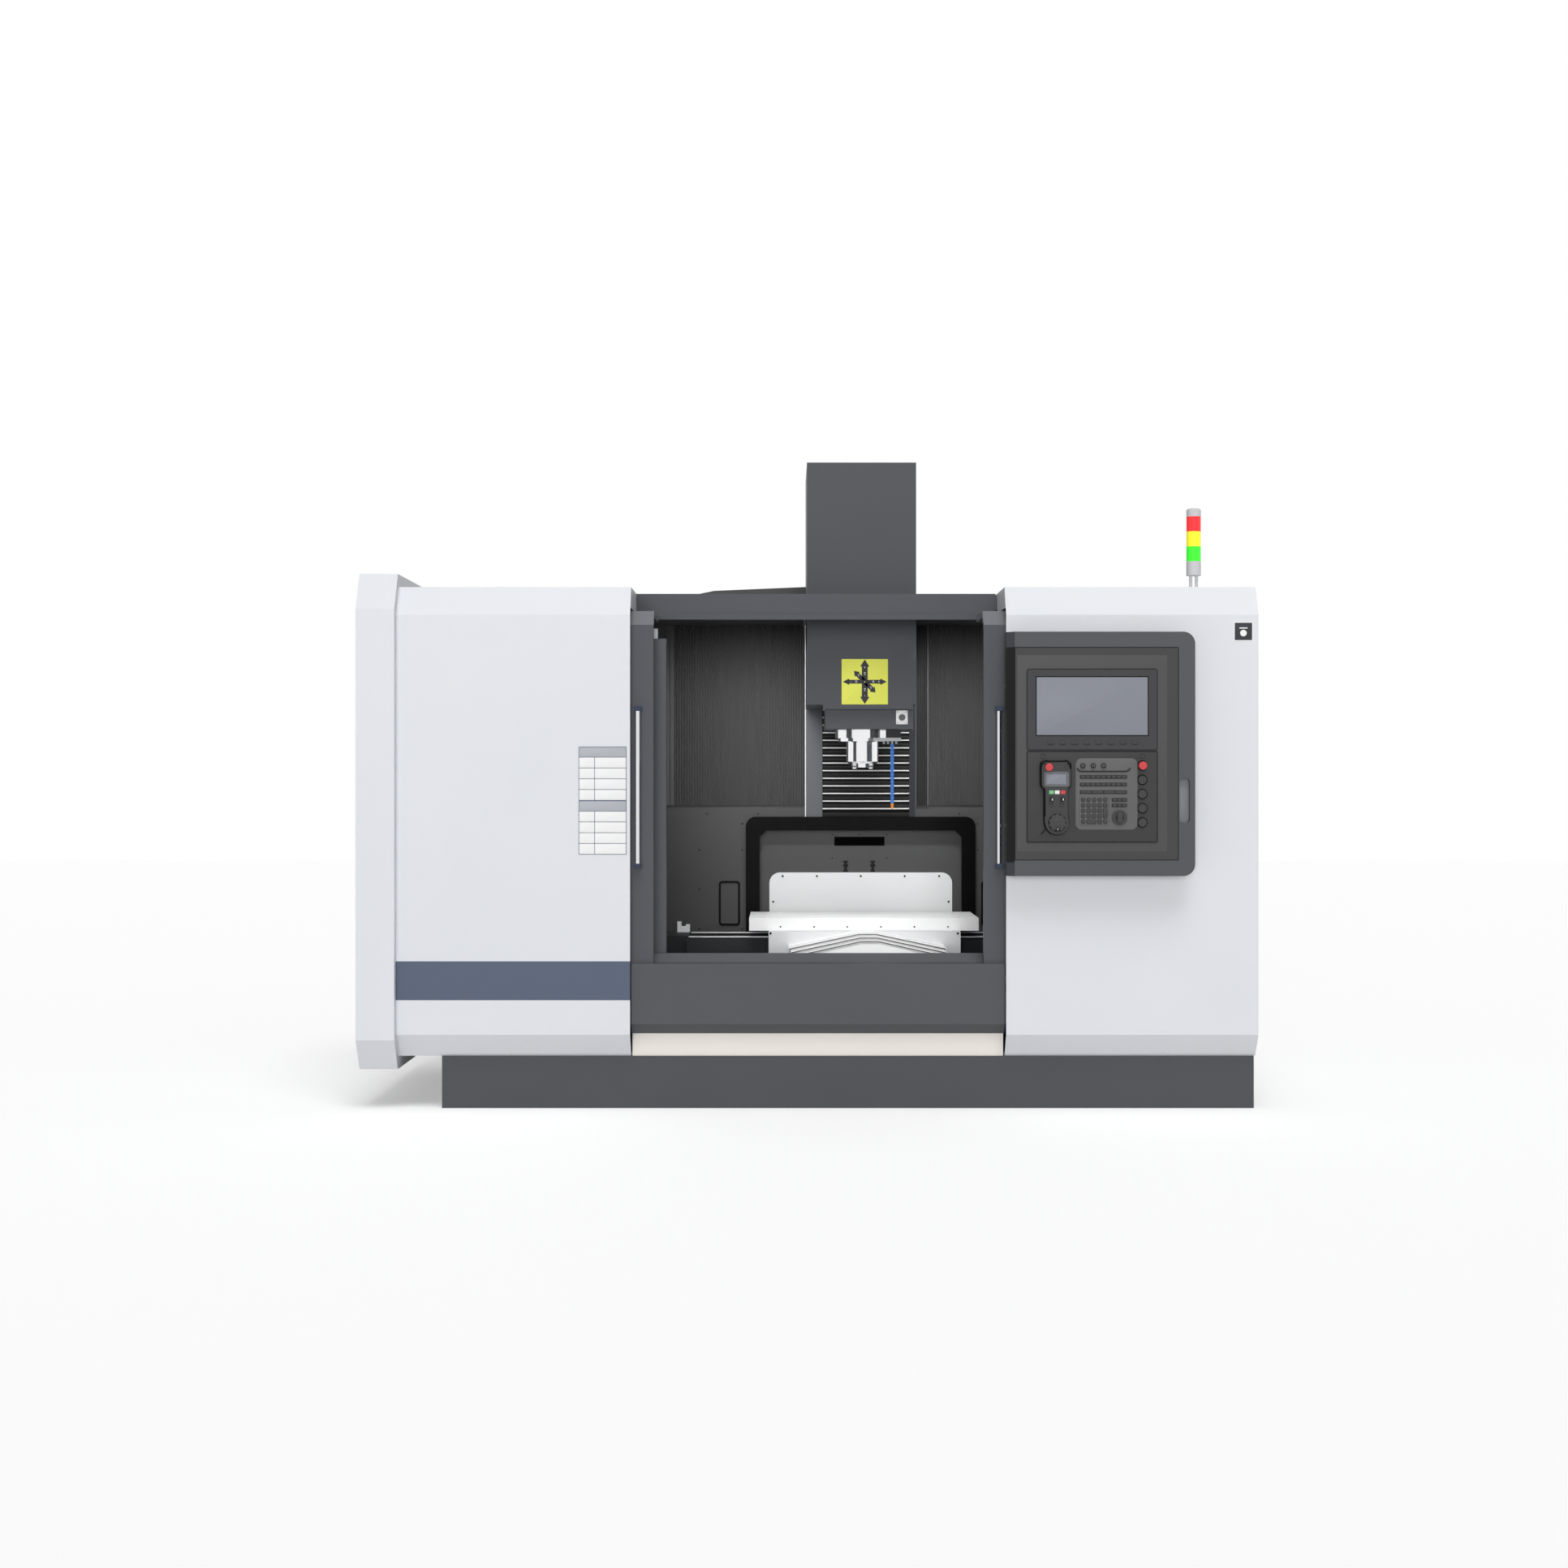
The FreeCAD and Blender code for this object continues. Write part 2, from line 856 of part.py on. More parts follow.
def left_end_cover():
    outline = [(wall_back, end_cover_bottom), (end_fold_depth - end_cover_proud, end_cover_bottom),
               (-end_cover_proud, end_fold_low), (-end_cover_proud, end_fold_high),
               (end_fold_depth - end_cover_proud, end_cover_top), (wall_back, end_cover_top)]
    inner = [(wall_back - skin, end_cover_bottom - skin),
             (end_fold_depth - end_cover_proud + skin, end_cover_bottom - skin),
             (skin - end_cover_proud, end_fold_low), (skin - end_cover_proud, end_fold_high - skin),
             (end_fold_depth - end_cover_proud + skin, end_cover_top - skin),
             (wall_back - skin, end_cover_top - skin)]
    shell = side_prism(outline, end_cover_left, end_cover_right)
    return shell.cut(side_prism(inner, end_cover_left + skin, end_cover_right - skin))


def enclosure_panels():
    # roofs of the two side bays with their flanges, and the rear part of the right side
    left = [(end_cover_right, cover_top), (opening_left, cover_top), (opening_left, roof_height + skin)]
    right = [(opening_right, roof_height + skin), (opening_right, cover_top),
             (right_end - skin, cover_top)]
    d0 = fold_depth + cover_return
    cut = box(opening_left - skin, opening_right + skin, d0, beam_depth, roof_height, cover_top - skin)
    left_roof = front_prism(folded(left, skin), d0, rear_wall_depth).cut(cut)
    right_roof = front_prism(folded(right, skin), d0, rear_wall_depth).cut(cut)
    side = box(right_end - skin, right_end, side_cover_split, wall_back, base_height, cover_top)
    return group(left_roof, right_roof, side)


def top_beam():
    right = opening_right - beam_right_gap
    tube = box(opening_left, right, beam_depth, beam_back, beam_bottom, cover_top)
    bore = box(opening_left, right, beam_depth + wall_sheet, beam_back - wall_sheet,
               beam_bottom + wall_sheet, cover_top - wall_sheet)
    rail = box(left_door_edge - door_width, right_door_edge + door_width, door_rail_front,
               door_rail_front + door_rail_width, beam_bottom - door_rail_drop, beam_bottom)
    return joined(tube.cut(bore), rail)


def roof_panel():
    sheet = box(chamber_left, chamber_right, beam_back, rear_wall_depth, roof_height, roof_height + skin)
    notch = box(hood_left - roof_notch_gap, hood_left + hood_width + roof_notch_gap,
                hood_depth - roof_notch_front, rear_wall_depth, roof_height, roof_height + skin)
    return sheet.cut(notch)


# --- work chamber ------------------------------------------------------------------------
def chamber_lining():
    back = box(end_cover_right, right_end - skin, rear_wall_depth, wall_back, base_height,
               cover_top - skin)
    bay = box(bed_left - bed_clearance, bed_right + bed_clearance, rear_wall_depth, wall_back,
              base_height, pan_low)
    arch = box(arch_inner_left, arch_inner_right, rear_wall_depth, wall_back, pan_low,
               arch_inner_top)
    slot = box(slot_left, slot_left + slot_width, rear_wall_depth, wall_back, arch_top, cover_top)
    back = back.cut(bay).cut(arch).cut(slot)
    pan = box(arch_inner_left - wall_sheet, arch_inner_right + wall_sheet, rear_wall_depth,
              rear_wall_depth + arch_pan + wall_sheet, pan_low, arch_inner_top + wall_sheet)
    inside = box(arch_inner_left, arch_inner_right, rear_wall_depth, rear_wall_depth + arch_pan,
                 pan_low, arch_inner_top)
    walls = []
    rail_clear = beam_depth + door_rail_width
    under_door = door_top - door_thickness - lining_gap
    for x in (chamber_left, chamber_right - wall_sheet):
        outline = [(lip_back, chamber_inner_low), (lip_back, under_door),
                   (rail_clear, under_door), (rail_clear, roof_height),
                   (rear_wall_depth, roof_height), (rear_wall_depth, chamber_inner_low)]
        walls.append(side_prism(outline, x, x + wall_sheet))
    left_floor = [(chamber_left, floor_outer_left), (chamber_left, floor_outer_left - wall_sheet),
                  (bed_left - bed_clearance, floor_inner - wall_sheet),
                  (bed_left - bed_clearance, floor_inner)]
    right_floor = [(chamber_right, floor_outer_right), (chamber_right, floor_outer_right - wall_sheet),
                   (bed_right + bed_clearance, floor_inner - wall_sheet),
                   (bed_right + bed_clearance, floor_inner)]
    floors = [front_prism(f, lip_back, rear_wall_depth) for f in (left_floor, right_floor)]
    strips = []
    front = rear_wall_depth - strip_proud
    for x, width in ((strip_left, strip_left_width), (strip_right, strip_right_width)):
        plate = box(x, x + width, front, front + wall_sheet, arch_top, roof_height)
        inner_left = slot_left - wall_sheet
        leg_x = inner_left if x == strip_left else slot_left + slot_width
        leg = box(leg_x, leg_x + wall_sheet, front, rear_wall_depth, arch_top, roof_height)
        bridge_x = (leg_x, x + width) if x == strip_left else (x, leg_x + wall_sheet)
        bridge = box(bridge_x[0], bridge_x[1], front, front + wall_sheet, arch_top, roof_height)
        strips += [plate, leg, bridge]
    return joined(back, pan.cut(inside), *walls, *floors, *strips)


def pleated_sheet(x0, count):
    crest = rear_wall_depth - pleat_back - pleat_rise
    root = rear_wall_depth - pleat_back
    points = []
    for i in range(count):
        points.append((x0 + i * pleat_pitch, root))
        points.append((x0 + (i + 0.5) * pleat_pitch, crest))
    x1 = x0 + count * pleat_pitch
    points += [(x1, root), (x1, rear_wall_depth), (x0, rear_wall_depth)]
    return plan_prism(points, pleat_low, roof_height)


def rear_pleats():
    # pleated sheets with flat ribs at their edges
    left = pleated_sheet(pleat_left, pleat_left_count)
    right = pleated_sheet(pleat_right, pleat_right_count)
    rib_step = pleat_rib + pleat_rib_gap
    crest = rear_wall_depth - pleat_back - pleat_rise
    ribs = []
    for x0, count in ((pleat_left - 2 * rib_step, 2), (pleat_right - 3 * rib_step, 3)):
        for i in range(count):
            x = x0 + i * rib_step
            ribs.append(box(x, x + pleat_rib, crest, rear_wall_depth, pleat_low, roof_height))
        ribs.append(box(x0, x0 + count * rib_step, rear_wall_depth - pleat_back, rear_wall_depth,
                        pleat_low, roof_height))
    return group(joined(left, *ribs[:3]), joined(right, *ribs[3:]))


def arch_bezel():
    body = box(arch_left, arch_right, arch_depth, rear_wall_depth, arch_low, arch_top)
    uprights = [e for e in body.Edges if abs(e.Vertexes[0].Y - e.Vertexes[-1].Y) > 1
                and e.Vertexes[0].Z > arch_top - 1]
    body = body.makeFillet(arch_radius, uprights)
    c = arch_chamfer
    hole = [(arch_inner_left, arch_low), (arch_inner_left, arch_inner_top - c),
            (arch_inner_left + c, arch_inner_top), (arch_inner_right - c, arch_inner_top),
            (arch_inner_right, arch_inner_top - c), (arch_inner_right, arch_low)]
    return body.cut(front_prism(hole, arch_depth, rear_wall_depth))


def jamb_post():
    left = chamber_left + wall_sheet
    right = left + post_width
    path = [(left, post_depth), (right, post_depth), (right, post_depth + post_section)]
    outline = folded([(x, -d) for x, d in path], skin)
    post = plan_prism([(x, -d) for x, d in outline], apron_rise, post_top)
    block_x = right - post_block_inset
    block = box(block_x, block_x + post_block, post_depth, post_depth + post_block_depth, post_top,
                post_top + post_block_height)
    return joined(post, block)


# --- doors -------------------------------------------------------------------------------
def door_frame(x0, x1, window_x0, window_x1):
    low = apron_top + running_gap
    rear = door_rail_front - running_gap
    path = [(door_depth + door_thickness, low), (door_depth, low), (door_depth, door_fold_low),
            (door_depth + door_fold_run, door_top), (rear, door_top), (rear, door_top - door_thickness)]
    body = side_prism(folded(path, skin), x0, x1)
    ends = []
    for x in (x0, x1 - skin):
        ends.append(side_prism(folded(path[1:5], door_thickness), x, x + skin))
    rim = box(window_x0 - skin, window_x1 + skin, door_depth, door_depth + door_thickness,
              window_low - skin, window_top + skin)
    hole = box(window_x0, window_x1, door_depth, door_depth + door_thickness, window_low,
               window_top)
    seat = box(window_x0 - glass_lap, window_x1 + glass_lap, door_depth + skin,
               door_depth + skin + glass_thickness, window_low - glass_lap,
               window_top + glass_lap)
    rim_back = box(window_x0 - skin, window_x1 + skin, door_depth + skin + glass_thickness,
                   door_depth + door_thickness, window_low - skin, window_top + skin)
    frame = joined(body, *ends).cut(hole)
    return frame, seat, rim.common(rim_back).cut(hole)


def door(x0, x1, window_x0, window_x1):
    frame, glass, rim = door_frame(x0, x1, window_x0, window_x1)
    lap = box(window_x0 - glass_lap - skin, window_x1 + glass_lap + skin,
              door_depth + skin, door_depth + skin + glass_thickness + skin,
              window_low - glass_lap - skin, window_top + glass_lap + skin)
    opening = box(window_x0, window_x1, door_depth, door_depth + door_thickness, window_low,
                  window_top)
    bezel = lap.cut(glass).cut(opening)
    return joined(frame, bezel, rim), glass


def door_handle(x):
    tube = rod_z(x, handle_depth, handle_radius, handle_low, handle_low + handle_length)
    half = handle_block_width / 2
    front = handle_depth - handle_radius
    blocks = []
    for z in (handle_low - handle_block, handle_low + handle_length):
        blocks.append(box(x - half, x + half, front, door_depth, z, z + handle_block))
    return joined(tube, *blocks)


# --- bed, column, magazine, cabinet ------------------------------------------------------
def bed_casting():
    shoulder = [(bed_left, bed_low), (bed_left, bed_shoulder), (bed_left + bed_inset, bed_top),
                (bed_right - bed_inset, bed_top), (bed_right, bed_shoulder), (bed_right, bed_low)]
    body = front_prism(shoulder, bed_front, bed_rear)
    bay_length = (bed_rear - bed_front - bed_wall) / bay_rows - bed_wall
    bay_width = (bed_width - 2 * bed_inset - bed_wall) / bay_columns - bed_wall
    for row in range(bay_rows):
        for column in range(bay_columns):
            d0 = bed_front + bed_wall + row * (bay_length + bed_wall)
            x0 = bed_left + bed_inset + bed_wall + column * (bay_width + bed_wall)
            body = body.cut(box(x0, x0 + bay_width, d0, d0 + bay_length, bed_low, bed_top - bed_wall))
    pads = []
    for x in (bed_left + pad_inset, bed_right - pad_inset):
        for d in (bed_front + pad_inset, (bed_front + bed_rear) / 2, bed_rear - pad_inset):
            pads.append(rod_z(x, d, pad_radius, 0, bed_low))
    return joined(body, *pads)


def column_outline(inset):
    return [(column_depth + inset, bed_top), (column_depth + inset, column_top - inset),
            (column_depth + column_head - inset, column_top - inset),
            (column_back - inset, column_knee - inset), (column_back - inset, bed_top)]


def column_casting():
    body = side_prism(column_outline(0), column_left, column_right)
    inner = side_prism(column_outline(column_wall), column_left + column_wall,
                       column_right - column_wall)
    half = motor_size / 2
    bracket_top = z_rail_top + bracket_height
    screw = rod_z(screw_x, screw_depth, screw_radius, z_rail_low, bracket_top)
    foot = box(screw_x - screw_foot / 2, screw_x + screw_foot / 2, z_rail_front, column_depth,
               z_rail_low, z_rail_low + bracket_height)
    bracket = box(screw_x - half, screw_x + half, screw_depth - half, column_depth, z_rail_top,
                  bracket_top)
    motor = box(screw_x - half, screw_x + half, screw_depth - half, screw_depth + half, column_top,
                column_top + motor_length)
    riser = box(screw_x - half, screw_x + half, screw_depth - half, column_depth, bracket_top,
                column_top)
    return joined(body.cut(inner), screw, foot, bracket, riser, motor)


def guide_rails():
    rails = []
    for x in (y_rail_left, y_rail_left + y_rail_spacing):
        rails.append(box(x - y_rail_width / 2, x + y_rail_width / 2, y_rail_front,
                         y_rail_front + y_rail_length, bed_top, y_rail_top))
    for x in (z_rail_left, z_rail_left + z_rail_spacing):
        rails.append(box(x - z_rail_width / 2, x + z_rail_width / 2, z_rail_front, column_depth,
                         z_rail_low, z_rail_top))
    return group(*rails)


def magazine_outline(inset):
    left = magazine_left + inset
    right = column_left - inset
    return [(left, magazine_low), (left, magazine_eaves - inset),
            (magazine_left + magazine_break, magazine_eaves + magazine_break_rise - inset),
            (right, magazine_ridge - inset), (right, magazine_low)]


def magazine_cover():
    body = front_prism(magazine_outline(0), wall_back, wall_back + magazine_depth)
    inner = front_prism(magazine_outline(skin), wall_back + skin, wall_back + magazine_depth - skin)
    return body.cut(inner)


def tool_drum():
    disc = rod_x(drum_depth, drum_height, drum_radius, drum_left, drum_left + drum_thickness)
    shaft = rod_x(drum_depth, drum_height, drum_shaft, drum_left - drum_shaft_end,
                  column_left - skin - running_gap)
    pots = []
    for i in range(pot_count):
        angle = 2 * math.pi * i / pot_count
        pots.append(rod_x(drum_depth + pot_circle * math.cos(angle),
                          drum_height + pot_circle * math.sin(angle), pot_radius,
                          drum_left - pot_length, drum_left))
    return joined(disc, shaft, *pots)


def electrical_cabinet():
    right = cabinet_right
    body = box(cabinet_left, right, wall_back, cabinet_back, cabinet_low, cabinet_top)
    inner = box(cabinet_left + skin, right - skin, wall_back + skin, cabinet_back, cabinet_low + skin,
                cabinet_top - skin)
    r = hinge_sleeve_radius
    x, d = cabinet_hinge_x, cabinet_hinge_depth
    foot_front = cabinet_back - cabinet_foot_length
    foot_back = cabinet_back - cabinet_foot_gap
    foot = [(right, foot_front), (x + r, foot_front), (x + r, d), (x - r, d), (x - r, foot_back),
            (right, foot_back)]
    return joined(body.cut(inner), *hinge_lugs(x, d, cabinet_low, cabinet_top, foot))


def hinge_sleeves(x, depth, low, high, x_leaf, d0, d1):
    # sleeves with a leaf each, which hang on the pins that hinge_lugs makes
    parts = []
    for z in (low + hinge_inset, high - hinge_inset):
        z0 = z + running_gap
        z1 = z + hinge_sleeve_length
        leaf = box(min(x, x_leaf), max(x, x_leaf), d0, d1, z0, z1)
        parts.append(joined(rod_z(x, depth, hinge_sleeve_radius, z0, z1), leaf))
    return parts, rod_z(x, depth, hinge_pin_radius + running_gap, low, high)


def cabinet_door():
    right = cabinet_right
    back = cabinet_door_back
    panel = box(cabinet_left, right, cabinet_back, back, cabinet_low, cabinet_top)
    hollow = box(cabinet_left + skin, right - skin, cabinet_back, back - skin, cabinet_low + skin,
                 cabinet_top - skin)
    sleeves, bore = hinge_sleeves(cabinet_hinge_x, cabinet_hinge_depth, cabinet_low, cabinet_top,
                                  right - skin, back - skin, back)
    grip_x = cabinet_left + cabinet_grip_inset
    low = (cabinet_low + cabinet_top - cabinet_grip_height) / 2
    grip = box(grip_x, grip_x + cabinet_grip_width, back, back + cabinet_grip_depth, low,
               low + cabinet_grip_height)
    return joined(panel.cut(hollow), grip, *sleeves).cut(bore)


# --- saddle, table, telescopic cover -----------------------------------------------------
def saddle_casting():
    beam = box(saddle_left, saddle_left + saddle_length, saddle_front, saddle_back,
               saddle_top - saddle_beam, saddle_top)
    trough = box(saddle_left + trough_end, saddle_left + saddle_length - trough_end,
                 x_rail_front + trough_inset, x_rail_back - trough_inset, saddle_top - trough_depth,
                 saddle_top)
    body_right = saddle_body_left + saddle_body_width
    body_back = saddle_body_back
    body = box(saddle_body_left, body_right, saddle_body_front, body_back, saddle_body_low,
               saddle_top - saddle_beam)
    carriage_half = y_carriage_width / 2
    walls = [saddle_body_left, y_rail_left - carriage_half, y_rail_left + carriage_half,
             y_rail_left + y_rail_spacing - carriage_half, y_rail_left + y_rail_spacing + carriage_half,
             body_right]
    for i in (0, 2, 4):
        body = body.cut(box(walls[i] + saddle_wall, walls[i + 1] - saddle_wall,
                            saddle_body_front + 2 * saddle_wall, body_back - 2 * saddle_wall,
                            saddle_body_low, saddle_top - saddle_beam - saddle_wall))
    motor = box(motor_box_left, saddle_left, motor_box_front, motor_box_back,
                motor_box_top - motor_box_height, motor_box_top)
    blocks = []
    for x in (y_rail_left, y_rail_left + y_rail_spacing):
        for d in (y_carriage_first, y_carriage_second):
            block = box(x - y_carriage_width / 2, x + y_carriage_width / 2, d, d + y_carriage_length,
                        bed_top + carriage_clearance, saddle_body_low)
            groove = box(x - y_rail_width / 2 - way_slack, x + y_rail_width / 2 + way_slack, d,
                         d + y_carriage_length, bed_top, y_rail_top + way_slack)
            blocks.append(block.cut(groove))
    return joined(beam.cut(trough), body, motor, *blocks)


def x_rails():
    rails = []
    for d in (x_rail_front, x_rail_back):
        rails.append(box(saddle_left + x_rail_inset, saddle_left + saddle_length - x_rail_inset,
                         d - x_rail_width / 2, d + x_rail_width / 2, saddle_top, x_rail_top))
    return group(*rails)


def cable_bracket():
    back = motor_box_back
    front = back - bracket_depth
    right = bracket_left + bracket_width
    outline = [(bracket_left, motor_box_top), (bracket_left, motor_box_top + bracket_tall),
               (bracket_left + bracket_arm, motor_box_top + bracket_tall),
               (bracket_left + bracket_arm, motor_box_top + bracket_base),
               (right - bracket_arm, motor_box_top + bracket_base),
               (right - bracket_arm, motor_box_top + bracket_short),
               (right, motor_box_top + bracket_short), (right, motor_box_top)]
    return front_prism(outline, front, back)


def saddle_apron():
    right = apron_plate_left + apron_plate_width
    plate = box(apron_plate_left, right, apron_plate_depth, apron_plate_depth + skin, plate_low,
                apron_plate_top)
    lap = box(apron_plate_left, right, apron_plate_depth, apron_plate_depth + apron_plate_lap,
              apron_plate_top - skin, apron_plate_top)
    cheeks = []
    for x in (apron_plate_left, right - skin):
        cheeks.append(box(x, x + skin, apron_plate_depth, saddle_front, plate_low,
                          saddle_top - joint_gap))
    return joined(plate, lap, *cheeks)


def rear_guard():
    # splash guard in the arch with its rounded top corners and two waisted nozzles
    back = rear_wall_depth + arch_pan
    front = back - wall_sheet
    plate = box(guard_left, guard_left + guard_width, front, back, plate_low, guard_top)
    corners = [e for e in plate.Edges if abs(e.Vertexes[0].Y - e.Vertexes[-1].Y) > 1
               and e.Vertexes[0].Z > guard_top - 1]
    plate = plate.makeFillet(guard_radius, corners)
    half = flush_width / 2
    waist = flush_waist / 2
    nozzles = []
    for i in range(2):
        x = flush_first + half + i * flush_spacing
        low = guard_top
        high = guard_top + flush_height
        neck = guard_top + flush_waist_low
        mid = guard_top + flush_waist_high - flush_neck
        collar = guard_top + flush_waist_high
        outline = [(x - half, low), (x - waist, neck), (x - half, mid), (x - waist, collar),
                   (x - half, high), (x + half, high), (x + waist, collar), (x + half, mid),
                   (x + waist, neck), (x + half, low)]
        nozzles.append(front_prism(outline, front, back))
    return joined(plate, *nozzles)


def table():
    x0 = table_centre_x - table_length / 2
    x1 = table_centre_x + table_length / 2
    body = box(x0, x1, table_front, table_back, table_bottom, table_top)
    middle = (table_front + table_back) / 2
    for i in range(slot_count):
        d = middle + (i - (slot_count - 1) / 2) * slot_pitch
        neck = box(x0, x1, d - t_slot_width / 2, d + t_slot_width / 2, table_top - t_slot_neck,
                   table_top)
        foot_top = table_top - t_slot_neck
        foot = box(x0, x1, d - t_slot_foot / 2, d + t_slot_foot / 2, foot_top - t_slot_foot_height,
                   foot_top)
        body = body.cut(neck).cut(foot)
    blocks = []
    for d in (x_rail_front, x_rail_back):
        for side in (-1, 1):
            x = table_centre_x + side * carriage_spacing / 2
            block = box(x - carriage_length / 2, x + carriage_length / 2, d - carriage_width / 2,
                        d + carriage_width / 2, saddle_top + carriage_clearance / 2, table_bottom)
            groove = box(x - carriage_length / 2, x + carriage_length / 2,
                         d - x_rail_width / 2 - way_slack, d + x_rail_width / 2 + way_slack, saddle_top,
                         x_rail_top + way_slack)
            blocks.append(block.cut(groove))
    return joined(body, *blocks)


def stage_profile(order, inset):
    # gabled section; order 0 is the widest stage, inset gives its inner face
    step = order * stage_step + inset
    half = stage_half_width - step
    low = bed_top + running_gap
    return [(stage_centre_x - half, low), (stage_centre_x - half, stage_eaves - step),
            (stage_centre_x - stage_ridge, stage_apex - step),
            (stage_centre_x + stage_ridge, stage_apex - step),
            (stage_centre_x + half, stage_eaves - step), (stage_centre_x + half, low)]


def cover_stage(order):
    first = lip_back
    last = apron_plate_depth - stage_length
    front = last + (first - last) * order / (stage_count - 1)
    outer = front_prism(stage_profile(order, 0), front, front + stage_length)
    inner = front_prism(stage_profile(order, stage_sheet), front, front + stage_length)
    shell = outer.cut(inner)
    if order == stage_count - 1:
        shell = joined(shell, front_prism(stage_profile(order, 0), front, front + stage_sheet))
    return shell


# --- head --------------------------------------------------------------------------------
def head_casting():
    nose_rear = spindle_depth + nose_back
    front = nose_depth + head_inset
    heel = head_rear - head_heel_run
    nose = box(nose_left, nose_left + nose_width, nose_depth, nose_rear, nose_bottom,
               nose_bottom + nose_height)
    outline = [(front, nose_bottom), (front, head_top), (spindle_depth + head_top_run, head_top),
               (head_rear, saddle_plate_top), (head_rear, saddle_plate_low),
               (heel, saddle_plate_low - head_heel_drop), (nose_rear, nose_bottom)]
    body = side_prism(outline, head_left, head_left + head_width)
    back = box(saddle_plate_left, saddle_plate_left + saddle_plate_width, head_rear, saddle_plate_back,
               saddle_plate_low, saddle_plate_top)
    floor = box(hood_left + skin, hood_left + hood_width - skin, hood_depth + skin, heel, hood_low,
                hood_low + hood_plate)
    bore = rod_z(spindle_x, spindle_depth, cartridge_radius + fit_gap, nose_bottom,
                 nose_bottom + cartridge_length)
    blocks = []
    rail_room = []
    block_back = column_depth - z_carriage_gap
    for x in (z_rail_left, z_rail_left + z_rail_spacing):
        for z in (saddle_plate_low + z_carriage_inset,
                  saddle_plate_top - z_carriage_inset - z_carriage_length):
            blocks.append(box(x - z_carriage_width / 2, x + z_carriage_width / 2, saddle_plate_back,
                              block_back, z, z + z_carriage_length))
        rail_room.append(box(x - z_rail_width / 2 - way_slack, x + z_rail_width / 2 + way_slack,
                             z_rail_front - way_slack, column_depth, saddle_plate_low,
                             saddle_plate_top))
    nut_low = (saddle_plate_low + saddle_plate_top - nut_size) / 2
    nut = box(screw_x - nut_size / 2, screw_x + nut_size / 2, head_rear, block_back, nut_low,
              nut_low + nut_size)
    screw_hole = rod_z(screw_x, screw_depth, screw_radius + spindle_gap, saddle_plate_low,
                       saddle_plate_top)
    pocket = box(head_left + head_wall, head_left + head_width - head_wall,
                 spindle_depth + head_pocket_back, head_rear - head_wall, saddle_plate_low, saddle_plate_top)
    solid = joined(nose, body, back, floor, nut, *blocks).cut(bore).cut(screw_hole).cut(pocket)
    return solid.cut(rail_room[0]).cut(rail_room[1])


def head_hood():
    right = hood_left + hood_width
    body = box(hood_left, right, hood_depth, hood_back, hood_low, hood_top)
    inner = box(hood_left + skin, right - skin, hood_depth + skin, hood_back, hood_low,
                hood_top - skin)
    tab = box(hood_tab_left, hood_tab_left + hood_tab_width, hood_depth, hood_depth + skin,
              hood_low - hood_tab_drop, hood_low)
    return joined(body.cut(inner), tab)


def spindle_cartridge():
    top = nose_bottom + cartridge_length
    bore = spindle_radius + spindle_gap
    outline = [(bore, sleeve_low), (sleeve_radius - sleeve_bevel, sleeve_low),
               (sleeve_radius, sleeve_low + sleeve_bevel), (sleeve_radius, sleeve_top),
               (ring_radius, sleeve_top), (ring_radius, flange_low), (flange_radius, flange_low),
               (flange_radius, nose_bottom), (cartridge_radius, nose_bottom), (cartridge_radius, top),
               (bore, top)]
    return turned(outline, spindle_x, spindle_depth)


def spindle_nose():
    face = sleeve_low - spindle_face_height
    top = nose_bottom + cartridge_length - spindle_recess
    outline = [(taper_radius, face), (spindle_face_radius, face),
               (spindle_face_radius, sleeve_low - running_gap),
               (spindle_radius, sleeve_low - running_gap), (spindle_radius, top),
               (drawbar_radius, top), (drawbar_radius, face + taper_depth),
               (taper_tip_radius, face + taper_depth)]
    body = turned(outline, spindle_x, spindle_depth)
    keys = []
    for side in (-1, 1):
        x = spindle_x + side * (spindle_face_radius + taper_radius) / 2
        half = drive_key / 2
        keys.append(box(x - half, x + half, spindle_depth - half, spindle_depth + half,
                        face - drive_key_height, face))
    return joined(body, *keys)


def spindle_motor():
    top = head_top + spindle_motor_length
    half = motor_foot / 2
    foot_top = head_top + motor_foot_height
    can = rod_z(spindle_x, spindle_depth, motor_radius, foot_top, top)
    foot = box(spindle_x - half, spindle_x + half, spindle_depth - half, spindle_depth + half,
               head_top, foot_top)
    return joined(can, foot)


def coolant_manifold():
    d0 = manifold_depth
    block = box(manifold_left, manifold_left + manifold_width, d0, d0 + manifold_thickness,
                manifold_low, nose_bottom)
    plate = box(jet_plate_left, jet_plate_left + jet_plate_width, d0, d0 + manifold_thickness,
                jet_plate_low, manifold_low)
    jets = []
    for i in range(jet_count):
        jets.append(rod_z(jet_first + i * jet_spacing, hose_depth, jet_radius,
                          jet_plate_low - jet_length, jet_plate_low))
    return joined(block, plate, *jets)


def coolant_hose():
    # a chain of waisted ball links and a tapered tip, below one of the jets
    top = jet_plate_low - jet_length
    outline = [(0, top)]
    for i in range(hose_segments):
        high = top - i * hose_segment
        outline += [(hose_waist, high), (hose_radius, high - hose_shoulder_start),
                    (hose_radius, high - hose_shoulder_end)]
    low = top - hose_segments * hose_segment
    outline += [(hose_radius, low), (hose_tip_radius, low - hose_tip_length),
                (0, low - hose_tip_length)]
    return turned(outline, hose_x, hose_depth)


